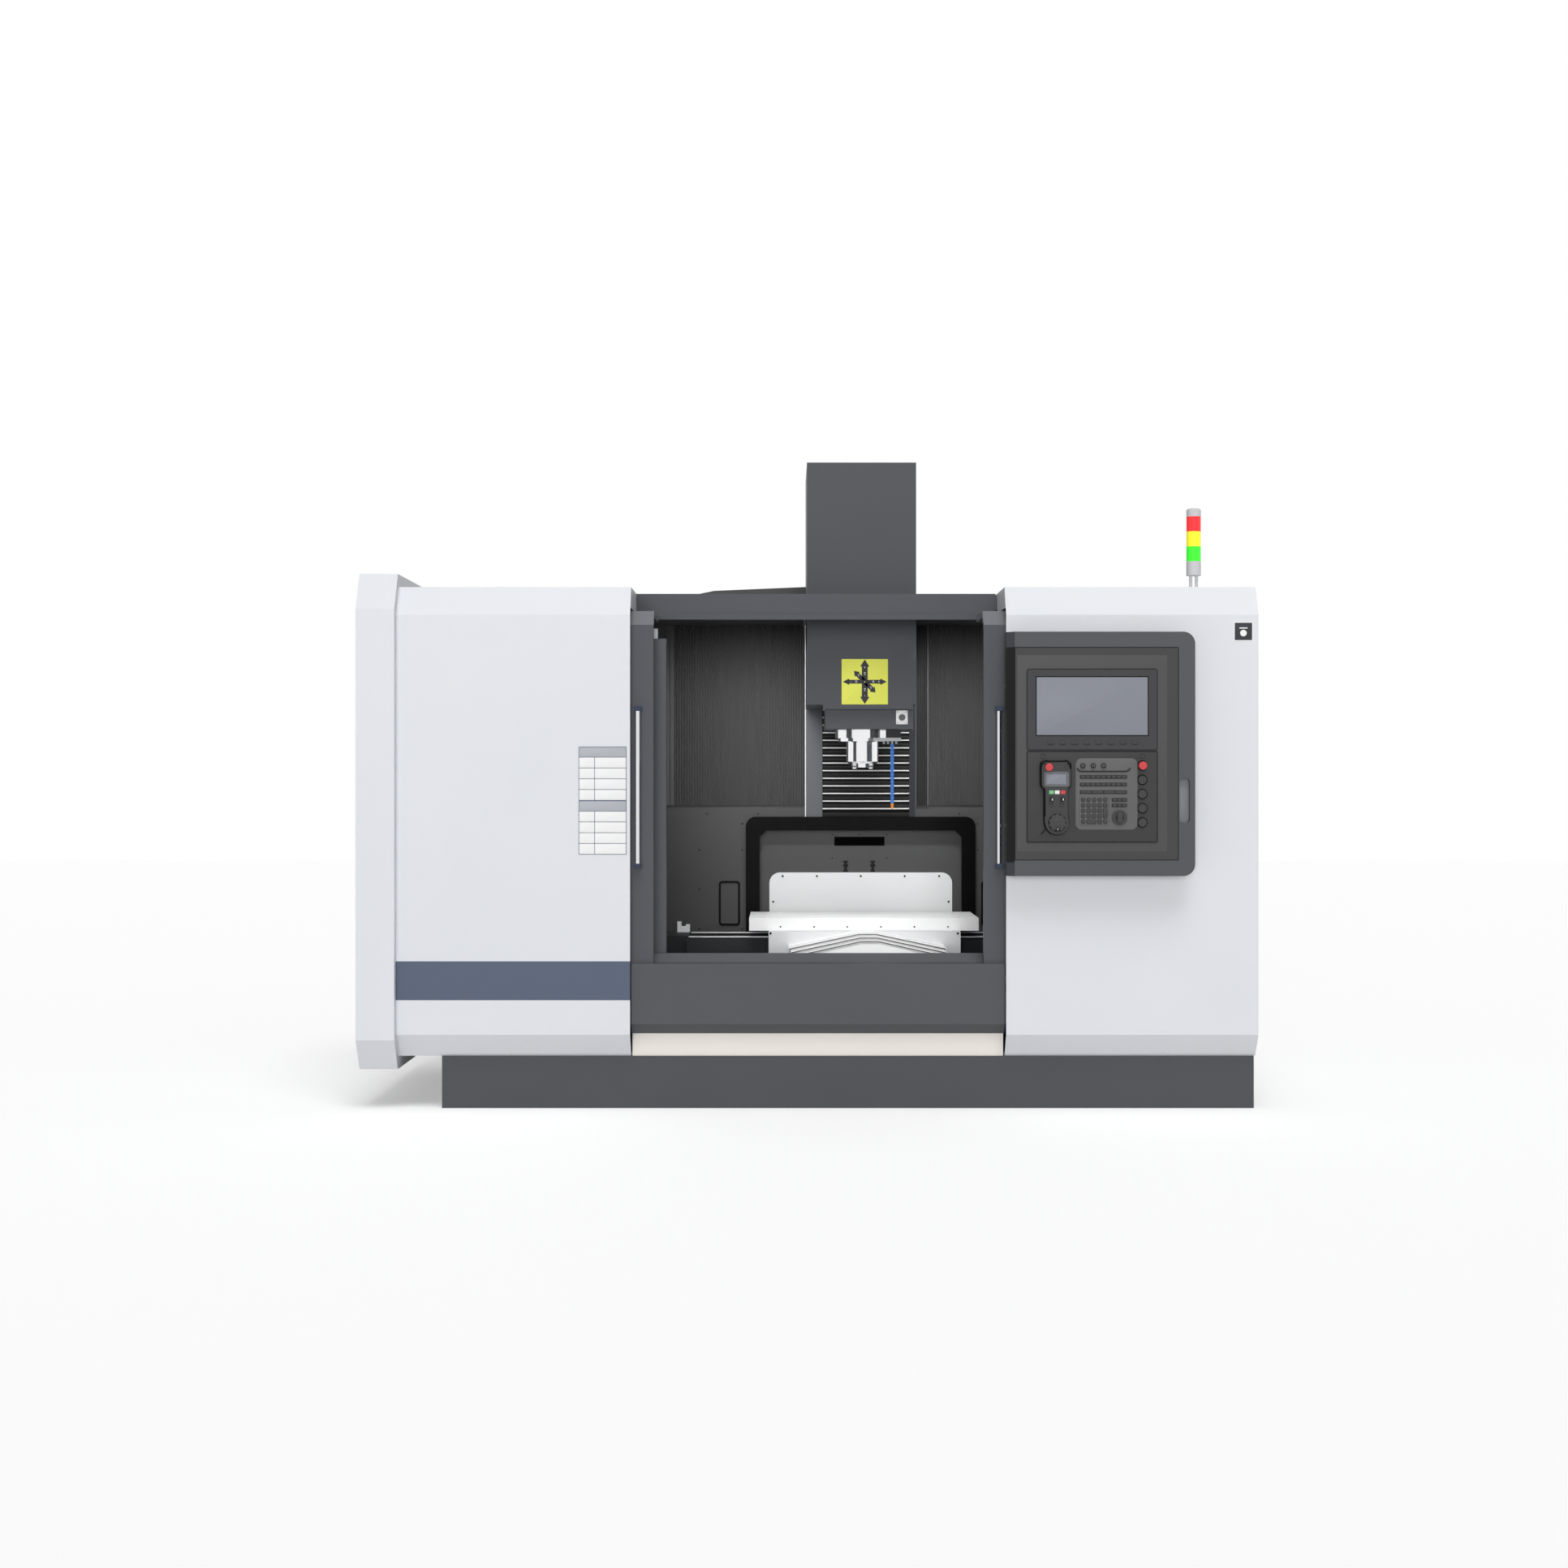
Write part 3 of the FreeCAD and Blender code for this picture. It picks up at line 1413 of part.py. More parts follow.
def z_bellows():
    # zigzag folds between a collar on the arch and one under the head
    crest = bellows_depth
    root = bellows_depth + bellows_fold
    front = [(root, arch_top), (root, arch_top + bellows_collar)]
    for i in range(bellows_count):
        low = arch_top + bellows_collar + i * bellows_pitch
        front += [(crest, low + bellows_pitch / 2), (root, low + bellows_pitch)]
    front.append((root, bellows_top))
    back = [(d + bellows_cloth, z) for d, z in front]
    return side_prism(front + back[::-1], bellows_left, bellows_left + bellows_width)


# --- signal lamp -------------------------------------------------------------------------
def lamp_body():
    base = cover_top + lamp_leg_height
    lens_low = base + lamp_base_height
    cap_low = lens_low + 3 * lens_height
    cap_top = cap_low + lamp_cap_height
    outline = [(0, base), (lamp_radius, base), (lamp_radius, lens_low), (lamp_core, lens_low),
               (lamp_core, cap_low), (lamp_radius, cap_low), (lamp_radius, cap_top - lamp_cap_bevel),
               (lamp_radius - lamp_cap_bevel, cap_top), (0, cap_top)]
    legs = []
    half = lamp_leg_width / 2
    for side in (-1, 1):
        x = lamp_x + side * lamp_leg_spacing / 2
        legs.append(box(x - half, x + half, lamp_depth - half, lamp_depth + half, cover_top, base))
    return joined(turned(outline, lamp_x, lamp_depth), *legs)


def lamp_lens(order):
    low = cover_top + lamp_leg_height + lamp_base_height + order * lens_height
    outline = [(lamp_core + lens_gap, low), (lamp_radius, low), (lamp_radius, low + lens_height),
               (lamp_core + lens_gap, low + lens_height)]
    return turned(outline, lamp_x, lamp_depth)


# --- operator panel ----------------------------------------------------------------------
def panel_controls():
    # centre and stem radius of every control that moves in the panel
    places = [(control_x, switch_row_z, stop_stem)]
    for i in range(button_count):
        places.append((control_x, button_first_z - i * button_pitch, stem_radius))
    places.append((dial_x, dial_z, stem_radius))
    return places


def drill(shape, places, d0, d1):
    for x, z, radius in places:
        shape = shape.cut(rod_y(x, z, radius + stem_gap, d0, d1))
    return shape


def panel_housing():
    body_right = panel_left + panel_body_width
    right = body_right + panel_flange_width
    back = -panel_standoff
    front = -panel_reach
    flange_back = front + panel_flange_thickness
    plan = [(panel_left, back), (panel_left, front + panel_chamfer), (panel_left + panel_chamfer, front),
            (right, front), (right, flange_back), (body_right, flange_back), (body_right, back)]
    body = plan_prism(plan, panel_low, panel_top)
    corners = [e for e in body.Edges if abs(e.Vertexes[0].Y - e.Vertexes[-1].Y) > 1
               and min(v.X for v in e.Vertexes) > right - 1
               and abs(e.Vertexes[0].Z - e.Vertexes[-1].Z) < 1]
    body = body.makeFillet(panel_corner, corners)
    fascia = box(fascia_left, fascia_left + fascia_width, front, front + fascia_sink, fascia_low,
                 fascia_low + fascia_height)
    grip = rounded_front(grip_left, grip_left + grip_width, grip_low, grip_low + grip_height,
                         grip_corner, front, flange_back)
    body = body.cut(fascia).cut(grip)
    t = panel_wall
    hollow = [(panel_left + t, back - t), (panel_left + t, front + panel_chamfer + t),
              (panel_left + panel_chamfer + t, front + 2 * t), (body_right - t, front + 2 * t),
              (body_right - t, back - t)]
    body = body.cut(plan_prism(hollow, panel_low + t, panel_top - t))
    body = drill(body, panel_controls(), front, front + 2 * t)
    sleeves, bore = hinge_sleeves(hinge_x, -hinge_reach, panel_low, panel_top, hinge_x + hinge_leaf,
                                  back - t, back + t)
    return joined(body, *sleeves).cut(bore)


def plate_box(x0, x1, z0, z1, rise):
    # a raised part on the control plates; rise counts from their face
    return box(x0, x1, -plate_face - rise, -plate_face, z0, z1)


def screen_unit():
    back = -panel_reach + fascia_sink
    top = screen_low + screen_height
    plate = box(plate_left, plate_left + plate_width, -plate_face, back, screen_low, top)
    sink = box(display_left, display_left + display_width, -plate_face, -plate_face + display_sink,
               display_low, display_low + display_height)
    keys = []
    for i in range(soft_key_count):
        x = soft_key_first + i * soft_key_pitch
        keys.append(plate_box(x - soft_key_width / 2, x + soft_key_width / 2,
                              soft_key_z - soft_key_height / 2, soft_key_z + soft_key_height / 2, key_rise))
    return joined(plate.cut(sink), *keys)


def key_block(x, z, width, height):
    return box(x - width / 2, x + width / 2, -key_face - key_rise, -key_face, z - height / 2,
               z + height / 2)


def keypad():
    back = -panel_reach + fascia_sink
    plate = box(plate_left, plate_left + plate_width, -plate_face, back, keypad_low,
                keypad_low + keypad_height)
    field = rounded_front(key_field_left, key_field_left + key_field_width, key_field_low,
                          key_field_low + key_field_height, key_field_corner, -key_face, -plate_face)
    keys = []
    for rise, count in zip(key_row_rises, key_row_counts):
        for i in range(count):
            keys.append(key_block(key_first_x + i * key_pitch_x, keypad_low + rise, key_width,
                                  key_height))
    for row in range(pad_rows):
        for column in range(pad_columns):
            x = pad_first_x + column * pad_pitch_x
            z = pad_first_z - row * pad_pitch_z
            keys.append(key_block(x, z, key_width, key_width))
    for row in range(bar_rows):
        for column in range(bar_columns):
            keys.append(key_block(bar_first_x + column * key_pitch_x + key_width / 2,
                                  bar_first_z - row * bar_pitch_z, key_width, bar_height))
    for i in range(selector_count):
        x = selector_first + i * selector_pitch
        keys.append(rod_y(x, switch_row_z, selector_radius, -key_face - selector_rise, -key_face))
    return drill(joined(plate, field, *keys), panel_controls(), -key_face, back)


def pushed(x, z, radius, rise, stem, face, travel):
    # a cap on a stem, free to sink by its travel
    cap_back = -face - travel - running_gap
    cap_front = -face - rise
    tip = -face + stem_depth - travel - stem_end_gap
    outline = [(0, cap_front), (radius - cap_bevel, cap_front), (radius, cap_front + cap_bevel),
               (radius, cap_back), (stem, cap_back), (stem, tip), (0, tip)]
    return turned_front(outline, x, z)


def override_dial():
    outline = []
    steps = 2 * dial_grip_count
    for i in range(steps):
        r = dial_radius - (dial_grip if i % 2 else 0)
        angle = 2 * math.pi * i / steps
        outline.append((dial_x + r * math.cos(angle), dial_z + r * math.sin(angle)))
    knob = front_prism(outline, -key_face - dial_rise, -key_face - running_gap)
    stem = rod_y(dial_x, dial_z, stem_radius, -key_face - running_gap,
                 -plate_face + stem_depth - 2 * stem_end_gap)
    return joined(knob, stem)


def pendant():
    back = -plate_face
    front = -pendant_face
    head = rounded_front(pendant_left, pendant_left + pendant_width, pendant_low,
                         pendant_low + pendant_height, pendant_corner, front, back)
    neck = box(neck_left, neck_left + neck_width, front, back, wheel_z, pendant_low)
    foot = rod_y(wheel_x, wheel_z, wheel_housing_radius, front, back)
    display_base = pendant_low + pendant_display_low
    display = box(pendant_left + pendant_display_rim, pendant_left + pendant_width - pendant_display_rim,
                  front, front + pendant_display_sink, display_base,
                  display_base + pendant_display_height)
    half_width = pendant_key_width / 2
    half_height = pendant_key_height / 2
    keys = []
    for i in range(pendant_key_count):
        x = pendant_key_first + i * pendant_key_pitch
        keys.append(box(x - half_width, x + half_width, front - pendant_key_rise, front,
                        pendant_key_z - half_height, pendant_key_z + half_height))
    for i in range(pendant_knob_count):
        x = pendant_knob_first + i * pendant_knob_pitch
        keys.append(rod_y(x, pendant_knob_z, pendant_knob_radius, front - pendant_knob_rise, front))
    body = joined(head, neck, foot, *keys).cut(display)
    holes = [(pendant_stop_x, pendant_stop_z, stem_radius), (wheel_x, wheel_z, stem_radius)]
    return drill(body, holes, front, back)


def handwheel():
    outline = []
    steps = 4 * wheel_lobes
    for i in range(steps):
        angle = 2 * math.pi * i / steps
        r = wheel_radius + wheel_lobe * math.cos(wheel_lobes * angle)
        outline.append((wheel_x + r * math.cos(angle), wheel_z + r * math.sin(angle)))
    front = -pendant_face - wheel_rise
    wheel = front_prism(outline, front, -pendant_face - running_gap)
    crank = rod_y(wheel_x, wheel_z - crank_offset, crank_radius, front - crank_rise, front)
    stem = rod_y(wheel_x, wheel_z, stem_radius, -pendant_face - running_gap,
                 -plate_face - stem_end_gap)
    return joined(wheel, crank, stem)


def pendant_stop():
    cap_back = -pendant_face - stop_travel - running_gap
    cap_front = -pendant_face - pendant_stop_rise
    tip = -plate_face - stop_travel - stem_end_gap
    outline = [(0, cap_front), (pendant_stop_radius - cap_bevel, cap_front),
               (pendant_stop_radius, cap_front + cap_bevel), (pendant_stop_radius, cap_back),
               (stem_radius, cap_back), (stem_radius, tip), (0, tip)]
    return turned_front(outline, pendant_stop_x, pendant_stop_z)


save("base_pan", base_pan())
save("kick_plate", kick_plate())
save("front_apron", front_apron())
save("left_front_cover", left_front_cover())
save("right_front_cover", right_front_cover())
save("left_end_cover", left_end_cover())
save("enclosure_panels", enclosure_panels())
save("top_beam", top_beam())
save("roof_panel", roof_panel())
save("chamber_lining", chamber_lining())
save("rear_pleats", rear_pleats())
save("arch_bezel", arch_bezel())
save("jamb_post", jamb_post())

left_x0 = left_door_edge - door_width
left_frame, left_glass = door(left_x0, left_door_edge, left_x0 + rear_stile, left_door_edge - stile)
save("left_door", left_frame)
save("left_window", left_glass)
save("left_door_handle", door_handle(left_door_edge - handle_inset_left))
right_x1 = right_door_edge + door_width
right_frame, right_glass = door(right_door_edge, right_x1, right_door_edge + stile, right_x1 - rear_stile)
save("right_door", right_frame)
save("right_window", right_glass)
save("right_door_handle", door_handle(right_door_edge + handle_inset_right))

save("bed_casting", bed_casting())
save("column_casting", column_casting())
save("guide_rails", guide_rails())
save("magazine_cover", magazine_cover())
save("tool_drum", tool_drum())
save("electrical_cabinet", electrical_cabinet())
save("cabinet_door", cabinet_door())

save("saddle_casting", saddle_casting())
save("x_rails", x_rails())
save("cable_bracket", cable_bracket())
save("saddle_apron", saddle_apron())
save("rear_guard", rear_guard())
save("table", table())
for stage in range(stage_count):
    save("way_cover_" + str(stage + 1), cover_stage(stage))

save("head_casting", head_casting())
save("head_hood", head_hood())
save("spindle_cartridge", spindle_cartridge())
save("spindle_nose", spindle_nose())
save("spindle_motor", spindle_motor())
save("coolant_manifold", coolant_manifold())
save("coolant_hose", coolant_hose())
save("z_bellows", z_bellows())

save("lamp_body", lamp_body())
for order, colour in enumerate(("green", "yellow", "red")):
    save("lamp_" + colour, lamp_lens(order))

save("panel_housing", panel_housing())
save("screen_unit", screen_unit())
save("keypad", keypad())
save("emergency_stop", pushed(control_x, switch_row_z, stop_radius, stop_rise, stop_stem,
                              plate_face, stop_travel))
for i in range(button_count):
    place = button_first_z - i * button_pitch
    save("push_button_" + str(i + 1), pushed(control_x, place, button_radius, button_rise, stem_radius,
                                             plate_face, button_travel))
save("override_dial", override_dial())
save("pendant", pendant())
save("handwheel", handwheel())
save("pendant_stop", pendant_stop())
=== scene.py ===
import math

import bmesh
import bpy
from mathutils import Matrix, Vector


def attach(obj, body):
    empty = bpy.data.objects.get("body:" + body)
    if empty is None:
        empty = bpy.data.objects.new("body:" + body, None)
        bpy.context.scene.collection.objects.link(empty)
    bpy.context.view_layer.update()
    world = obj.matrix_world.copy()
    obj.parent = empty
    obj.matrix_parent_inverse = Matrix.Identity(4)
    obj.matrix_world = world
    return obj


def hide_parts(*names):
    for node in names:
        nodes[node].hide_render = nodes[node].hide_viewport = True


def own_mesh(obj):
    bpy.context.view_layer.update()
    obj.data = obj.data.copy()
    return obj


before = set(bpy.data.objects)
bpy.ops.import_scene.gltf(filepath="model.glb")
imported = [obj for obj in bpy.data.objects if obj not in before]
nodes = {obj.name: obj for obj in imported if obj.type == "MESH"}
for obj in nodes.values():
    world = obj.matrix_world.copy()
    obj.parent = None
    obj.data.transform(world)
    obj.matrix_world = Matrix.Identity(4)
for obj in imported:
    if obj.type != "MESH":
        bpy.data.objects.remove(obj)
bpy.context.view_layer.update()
print("frame loaded:", len(nodes), "nodes")

# Sizes are in mm. A depth counts back from the front plane of the white covers, so what
# stands in front of that plane has a depth below zero.
coverPlane = 970.0


def inScene(x, depth, z):
    return Vector((x / 1000, (depth - coverPlane) / 1000, z / 1000))


def linear(hexText):
    channels = [int(hexText[i:i + 2], 16) / 255 for i in (1, 3, 5)]
    return [c / 12.92 if c <= 0.04045 else ((c + 0.055) / 1.055) ** 2.4 for c in channels] + [1.0]


# ---- materials

def add(tree, kind, sets=None, links=None):
    node = tree.nodes.new("ShaderNode" + kind)
    for name, value in (sets or {}).items():
        if isinstance(name, str) and hasattr(node, name):
            setattr(node, name, value)
        else:
            node.inputs[name].default_value = value
    for name, source in (links or {}).items():
        tree.links.new(source, node.inputs[name])
    return node


def startMaterial(name, color, roughness, metallic=0.0):
    mat = bpy.data.materials.new(name)
    mat.use_nodes = True
    tree = mat.node_tree
    shader = tree.nodes["Principled BSDF"]
    shader.inputs["Base Color"].default_value = linear(color)
    shader.inputs["Roughness"].default_value = roughness
    shader.inputs["Metallic"].default_value = metallic
    place = add(tree, "TexCoord").outputs["Object"]
    return mat, tree, shader, place


def paint(tree, shader, base):
    tree.links.new(base, shader.inputs["Base Color"])


def reliefFrom(tree, shader, pattern, low, high, strength, height):
    # roughness from low to high and a relief of that many mm, both from one pattern
    rough = add(tree, "MapRange", {3: low, 4: high}, {0: pattern}).outputs[0]
    bump = add(tree, "Bump", {"Strength": strength, "Distance": height / 1000}, {"Height": pattern})
    tree.links.new(rough, shader.inputs["Roughness"])
    tree.links.new(bump.outputs[0], shader.inputs["Normal"])


def texture(tree, shader, place, grain, height, spread, stretch=(1, 1, 1)):
    # a grain of that many mm, over which the roughness wanders by spread
    mapped = add(tree, "Mapping", {"Scale": stretch}, {"Vector": place}).outputs[0]
    fine = add(tree, "TexNoise", {"Scale": 1000 / grain, "Detail": 3.0}, {"Vector": mapped}).outputs[0]
    middle = shader.inputs["Roughness"].default_value
    reliefFrom(tree, shader, fine, middle - spread, middle + spread, 0.35, height)


def drifting(tree, place, first, second, patch):
    # a colour that drifts between two near tones in patches of that many mm
    broad = add(tree, "TexNoise", {"Scale": 1000 / patch, "Detail": 2.0}, {"Vector": place}).outputs[0]
    return add(tree, "Mix", {"data_type": "RGBA", 6: linear(first), 7: linear(second)},
               {0: broad}).outputs[2]


def insideBox(tree, place, limits):
    # 1 between the limits given along each axis, else 0
    parts = add(tree, "SeparateXYZ", None, {0: place}).outputs
    mask = None
    for axis, (low, high) in limits.items():
        inside = add(tree, "Math", {"operation": "COMPARE", 1: (low + high) / 2, 2: (high - low) / 2},
                     {0: parts["xyz".index(axis)]}).outputs[0]
        if mask:
            inside = add(tree, "Math", {"operation": "MULTIPLY"}, {0: mask, 1: inside}).outputs[0]
        mask = inside
    return mask


def withFields(tree, place, base, fields):
    # colours laid over the base, each inside its own box
    for fieldColor, limits in fields:
        base = add(tree, "Mix", {"data_type": "RGBA", 7: linear(fieldColor)},
                   {0: insideBox(tree, place, limits), 6: base}).outputs[2]
    return base


def skin(name, color, shade, roughness, patch, grains, specular=0.5, fields=(), coat=0.0):
    # a surface without metal: a drifting colour with its fields, and a grain (width, height, spread)
    mat, tree, shader, place = startMaterial(name, color, roughness)
    shader.inputs["Specular IOR Level"].default_value = specular
    shader.inputs["Coat Weight"].default_value = coat
    paint(tree, shader, withFields(tree, place, drifting(tree, place, color, shade, patch), fields))
    texture(tree, shader, place, *grains)
    return mat


# Polyester powder coat, sprayed and baked: a satin skin with a soft orange peel. The real peel
# is about 2 mm wide, too fine to show, so it is drawn 14 mm wide.
def powderCoat(name, color, shade, roughness=0.42, fields=()):
    return skin(name, color, shade, roughness, 420, (14, 0.5, 0.05), 0.25, fields)


# The same coat on folded pleats, with upright streaks about 5 mm wide and fifty times as long:
# painted shade that draws the fine lines of the folds.
def streakedCoat(name, color, streak):
    mat, tree, shader, place = startMaterial(name, color, 0.4)
    shader.inputs["Specular IOR Level"].default_value = 0.25
    drawnOut = add(tree, "Mapping", {"Scale": (1, 1, 0.02)}, {"Vector": place}).outputs[0]
    # the streaks are painted shade of the folds
    runs = add(tree, "TexNoise", {"Scale": 190.0, "Detail": 2.0}, {"Vector": drawnOut}).outputs[0]
    runs = add(tree, "MapRange", {1: 0.3, 2: 0.7}, {0: runs}).outputs[0]
    paint(tree, shader, add(tree, "Mix", {"data_type": "RGBA", 6: linear(color), 7: linear(streak)},
                            {0: runs}).outputs[2])
    texture(tree, shader, place, 14, 0.5, 0.05)
    return mat


# Enamel brushed on cast iron: the sand-cast skin shows through as soft lumps, drawn 9 mm wide.
def castEnamel(name, color, shade):
    return skin(name, color, shade, 0.55, 160, (9, 1.6, 0.1))


# Steel ground along one way: fine lines of about 1 mm, drawn 5 mm apart so that they show.
def groundSteel(name, color, shade, roughness, stretch, flankShade=None, metallic=1.0):
    mat, tree, shader, place = startMaterial(name, color, roughness, metallic)
    base = drifting(tree, place, color, shade, 90)
    if flankShade:
        # the upright faces of a rail are painted dark, as painted shade beside its bright top
        normal = add(tree, "NewGeometry").outputs["Normal"]
        base = withFields(tree, normal, base, [(flankShade, {"z": (-0.6, 0.6)})])
    paint(tree, shader, base)
    texture(tree, shader, place, 5, 0.25, 0.08, stretch)
    return mat


# Hard chrome, polished: a clear mirror with faint turning marks. A handle's painted brackets lie
# above and below its chromed tube and aren't metal.
def polishedChrome(name, color, shade, roughness, metallic, brackets=None, tube=None):
    mat, tree, shader, place = startMaterial(name, color, roughness, metallic)
    texture(tree, shader, place, 20, 0.01, 0.02, (1, 1, 4))
    if tube:
        base = drifting(tree, place, *brackets, 60)
        base = withFields(tree, place, base, [(color, {"z": tube})])
        tree.links.new(insideBox(tree, place, {"z": tube}), shader.inputs["Metallic"])
    else:
        base = drifting(tree, place, color, shade, 60)
    paint(tree, shader, base)
    return mat


# Moulded plastic, spark eroded mould: an even satin grain, drawn 6 mm wide so that it shows.
def mouldedPlastic(name, color, shade, roughness=0.45, grain=6, fields=(), coat=0.0):
    return skin(name, color, shade, roughness, 120, (grain, 0.15, 0.06), 0.3, fields, coat)


# Nitrile rubber, moulded and wiped with oil: near black, with a broad soft shine.
def nitrileRubber(name, color, shade, roughness):
    return skin(name, color, shade, roughness, 60, (8, 0.4, 0.08), 0.06)


# Coated polyester cloth, woven and pressed into folds: matt, with its threads drawn 6 mm apart, as
# a wave of scale 50 gives them, so that they show.
def coatedCloth(name, color, shade):
    mat, tree, shader, place = startMaterial(name, color, 0.6)
    paint(tree, shader, drifting(tree, place, color, shade, 30))
    threads = add(tree, "TexWave", {"Scale": 50.0, "Distortion": 1.0}, {"Vector": place}).outputs[0]
    reliefFrom(tree, shader, threads, 0.55, 0.68, 0.3, 0.4)
    return mat


# Laminated safety glass, floated: clear with a cold tint and faint wipe marks, 330 mm long.
def laminatedGlass(name, color, shade):
    mat, tree, shader, place = startMaterial(name, color, 0.03)
    wiped = add(tree, "TexNoise", {"Scale": 3.0, "Detail": 4.0}, {"Vector": place}).outputs[0]
    rough = add(tree, "MapRange", {3: 0.02, 4: 0.08}, {0: wiped}).outputs[0]
    tree.links.new(rough, shader.inputs["Roughness"])
    paint(tree, shader, drifting(tree, place, color, shade, 500))
    shader.inputs["Transmission Weight"].default_value = 0.92
    shader.inputs["IOR"].default_value = 1.45
    return mat


# Polycarbonate lens, moulded with ribs inside: they show as faint upright lines, 2.6 mm apart, as
# a wave of scale 120 gives them.
def ribbedLens(name, color, shade):
    mat, tree, shader, place = startMaterial(name, color, 0.22)
    ribs = add(tree, "TexWave", {"Scale": 120.0, "Distortion": 0.0}, {"Vector": place}).outputs[0]
    paint(tree, shader, add(tree, "Mix", {"data_type": "RGBA", 6: linear(color), 7: linear(shade)},
                            {0: ribs}).outputs[2])
    reliefFrom(tree, shader, ribs, 0.18, 0.28, 0.2, 0.5)
    shader.inputs["Emission Color"].default_value = linear(color)
    shader.inputs["Emission Strength"].default_value = 0.25
    return mat


def dress(mat, *names):
    # gives the material to the CAD nodes of these names
    for name in names:
        for place in nodes[name].material_slots:
            place.material = mat
    return mat


# Places of the colour fields, in metres of the scene.
stripeBand = (0.4332, 0.5868)
handleTube = (0.972, 1.574)
hoseTip = (1.0, 1.204)
keyTopsOverShadedSides = (-1.0898, -1.08885)
pendantKnobs = (-1.1095, -1.1015)
pendantFace = (-1.1014, -1.0995)
pendantKeyHeight = (1.2465, 1.2615)
pendantKeys = {"#7cc486": (0.936, 0.956), "#e6e6e6": (0.9585, 0.9785), "#d04c4c": (0.981, 1.001)}
guardDepth = (0.4285, 0.4345)
guardHeight = (1.137, 2.004)
leftGuard = (0.006, 0.0795)
rightGuard = (0.471, 0.499)
nozzleDepth = (0.40, 0.475)
nozzleHeight = (0.8855, 0.95)
jetPlate = (1.44, 1.4822)
doorFoldHighlight = (1.9165, 1.98)
postBlockPaintedLight = (1.8682, 1.91)
housingWidth = (0.805, 1.445)
housingFront = (-1.0795, -1.0765)
housingHeight = (0.988, 1.820)
shadedPanelSlope = (0.770, 0.8055)
deepShadeHeight = (0.980, 1.820)

dress(powderCoat("whitePowderCoat", "#dfe1e5", "#dadde2"), "right_front_cover", "left_end_cover",
      "enclosure_panels", "electrical_cabinet", "cabinet_door")
dress(powderCoat("whitePowderCoatWithStripe", "#dfe1e5", "#dadde2", 0.42,
                 [("#5a6375", {"z": stripeBand})]), "left_front_cover")
dress(powderCoat("graphitePowderCoat", "#55575c", "#515358"), "top_beam")
# the doors' top fold is painted lighter: a painted highlight where the top light falls on it
dress(powderCoat("doorPowderCoat", "#55575c", "#515358", 0.42, [("#717378", {"z": doorFoldHighlight})]),
      "left_door", "right_door")
dress(powderCoat("apronPowderCoat", "#565759", "#525357"), "front_apron")
dress(powderCoat("basePowderCoat", "#505256", "#4b4d51", 0.5), "base_pan")
dress(powderCoat("creamPowderCoat", "#f3eee8", "#eee8e0"), "kick_plate")
dress(powderCoat("chamberPowderCoat", "#565656", "#505050", 0.4,
                 [("#66686c", {"x": leftGuard, "y": guardDepth, "z": guardHeight}),
                  ("#33343a", {"x": rightGuard, "y": guardDepth, "z": guardHeight})]),
      "chamber_lining", "roof_panel", "magazine_cover")
dress(streakedCoat("pleatPowderCoat", "#636363", "#595959"), "rear_pleats")
dress(powderCoat("hoodPowderCoat", "#54565b", "#505256"), "head_hood", "head_casting")
# the block at the top of the jamb post is painted pale grey: painted light, so that it reads lit where it
# stands in shade
dress(powderCoat("postPowderCoat", "#5a5c61", "#55575c", 0.42, [("#c4c6c8", {"z": postBlockPaintedLight})]), "jamb_post")
dress(powderCoat("palePowderCoat", "#dfe0e1", "#d8d9da", 0.35), "saddle_apron")
dress(powderCoat("snowPowderCoat", "#fafbfb", "#f5f6f7", 0.35,
                 [("#121212", {"y": nozzleDepth, "z": nozzleHeight})]), "rear_guard", "cable_bracket")
# the housing's left slope is painted darker, and near black between two heights: painted shade on the face
# turned away from the light
dress(powderCoat("panelPowderCoat", "#54565a", "#505256", 0.38,
                 [("#434344", {"x": housingWidth, "y": housingFront, "z": housingHeight}),
                  ("#3d3f46", {"x": shadedPanelSlope}),
                  ("#0b0b0c", {"x": shadedPanelSlope, "z": deepShadeHeight})]), "panel_housing")
fasciaCoat = powderCoat("fasciaPowderCoat", "#525252", "#4e4e4e", 0.45)
dress(powderCoat("tableEnamel", "#fafafa", "#f4f4f5", 0.35), "table")
dress(powderCoat("wayCoverPowderCoat", "#fdfdfd", "#f8f8f9", 0.32), "way_cover_1", "way_cover_2",
      "way_cover_3", "way_cover_4")
# the channel floor's darker coat is painted shade between the ribs
channelFloorShadeCoat = powderCoat("channelFloorShadePowderCoat", "#2c2c2d", "#282829", 0.5)
ribCoat = powderCoat("channelRibPowderCoat", "#3c3c3d", "#383839", 0.5)
signYellow = powderCoat("yellowSignFilm", "#f2f56e", "#ecf066", 0.35)
signDark = powderCoat("darkSignFilm", "#3c3d42", "#38393e", 0.4)
signWhite = powderCoat("whiteSignFilm", "#f2f2f2", "#ececec", 0.35)
signSlate = powderCoat("slateSignFilm", "#5d6677", "#586172", 0.35)
signGrey = powderCoat("greySignFilm", "#b4b8be", "#aeb2b8", 0.35)
dress(castEnamel("machineEnamel", "#5b5e64", "#53565c"), "bed_casting", "column_casting", "spindle_motor")
dress(castEnamel("saddleEnamel", "#25272a", "#1f2124"), "saddle_casting")
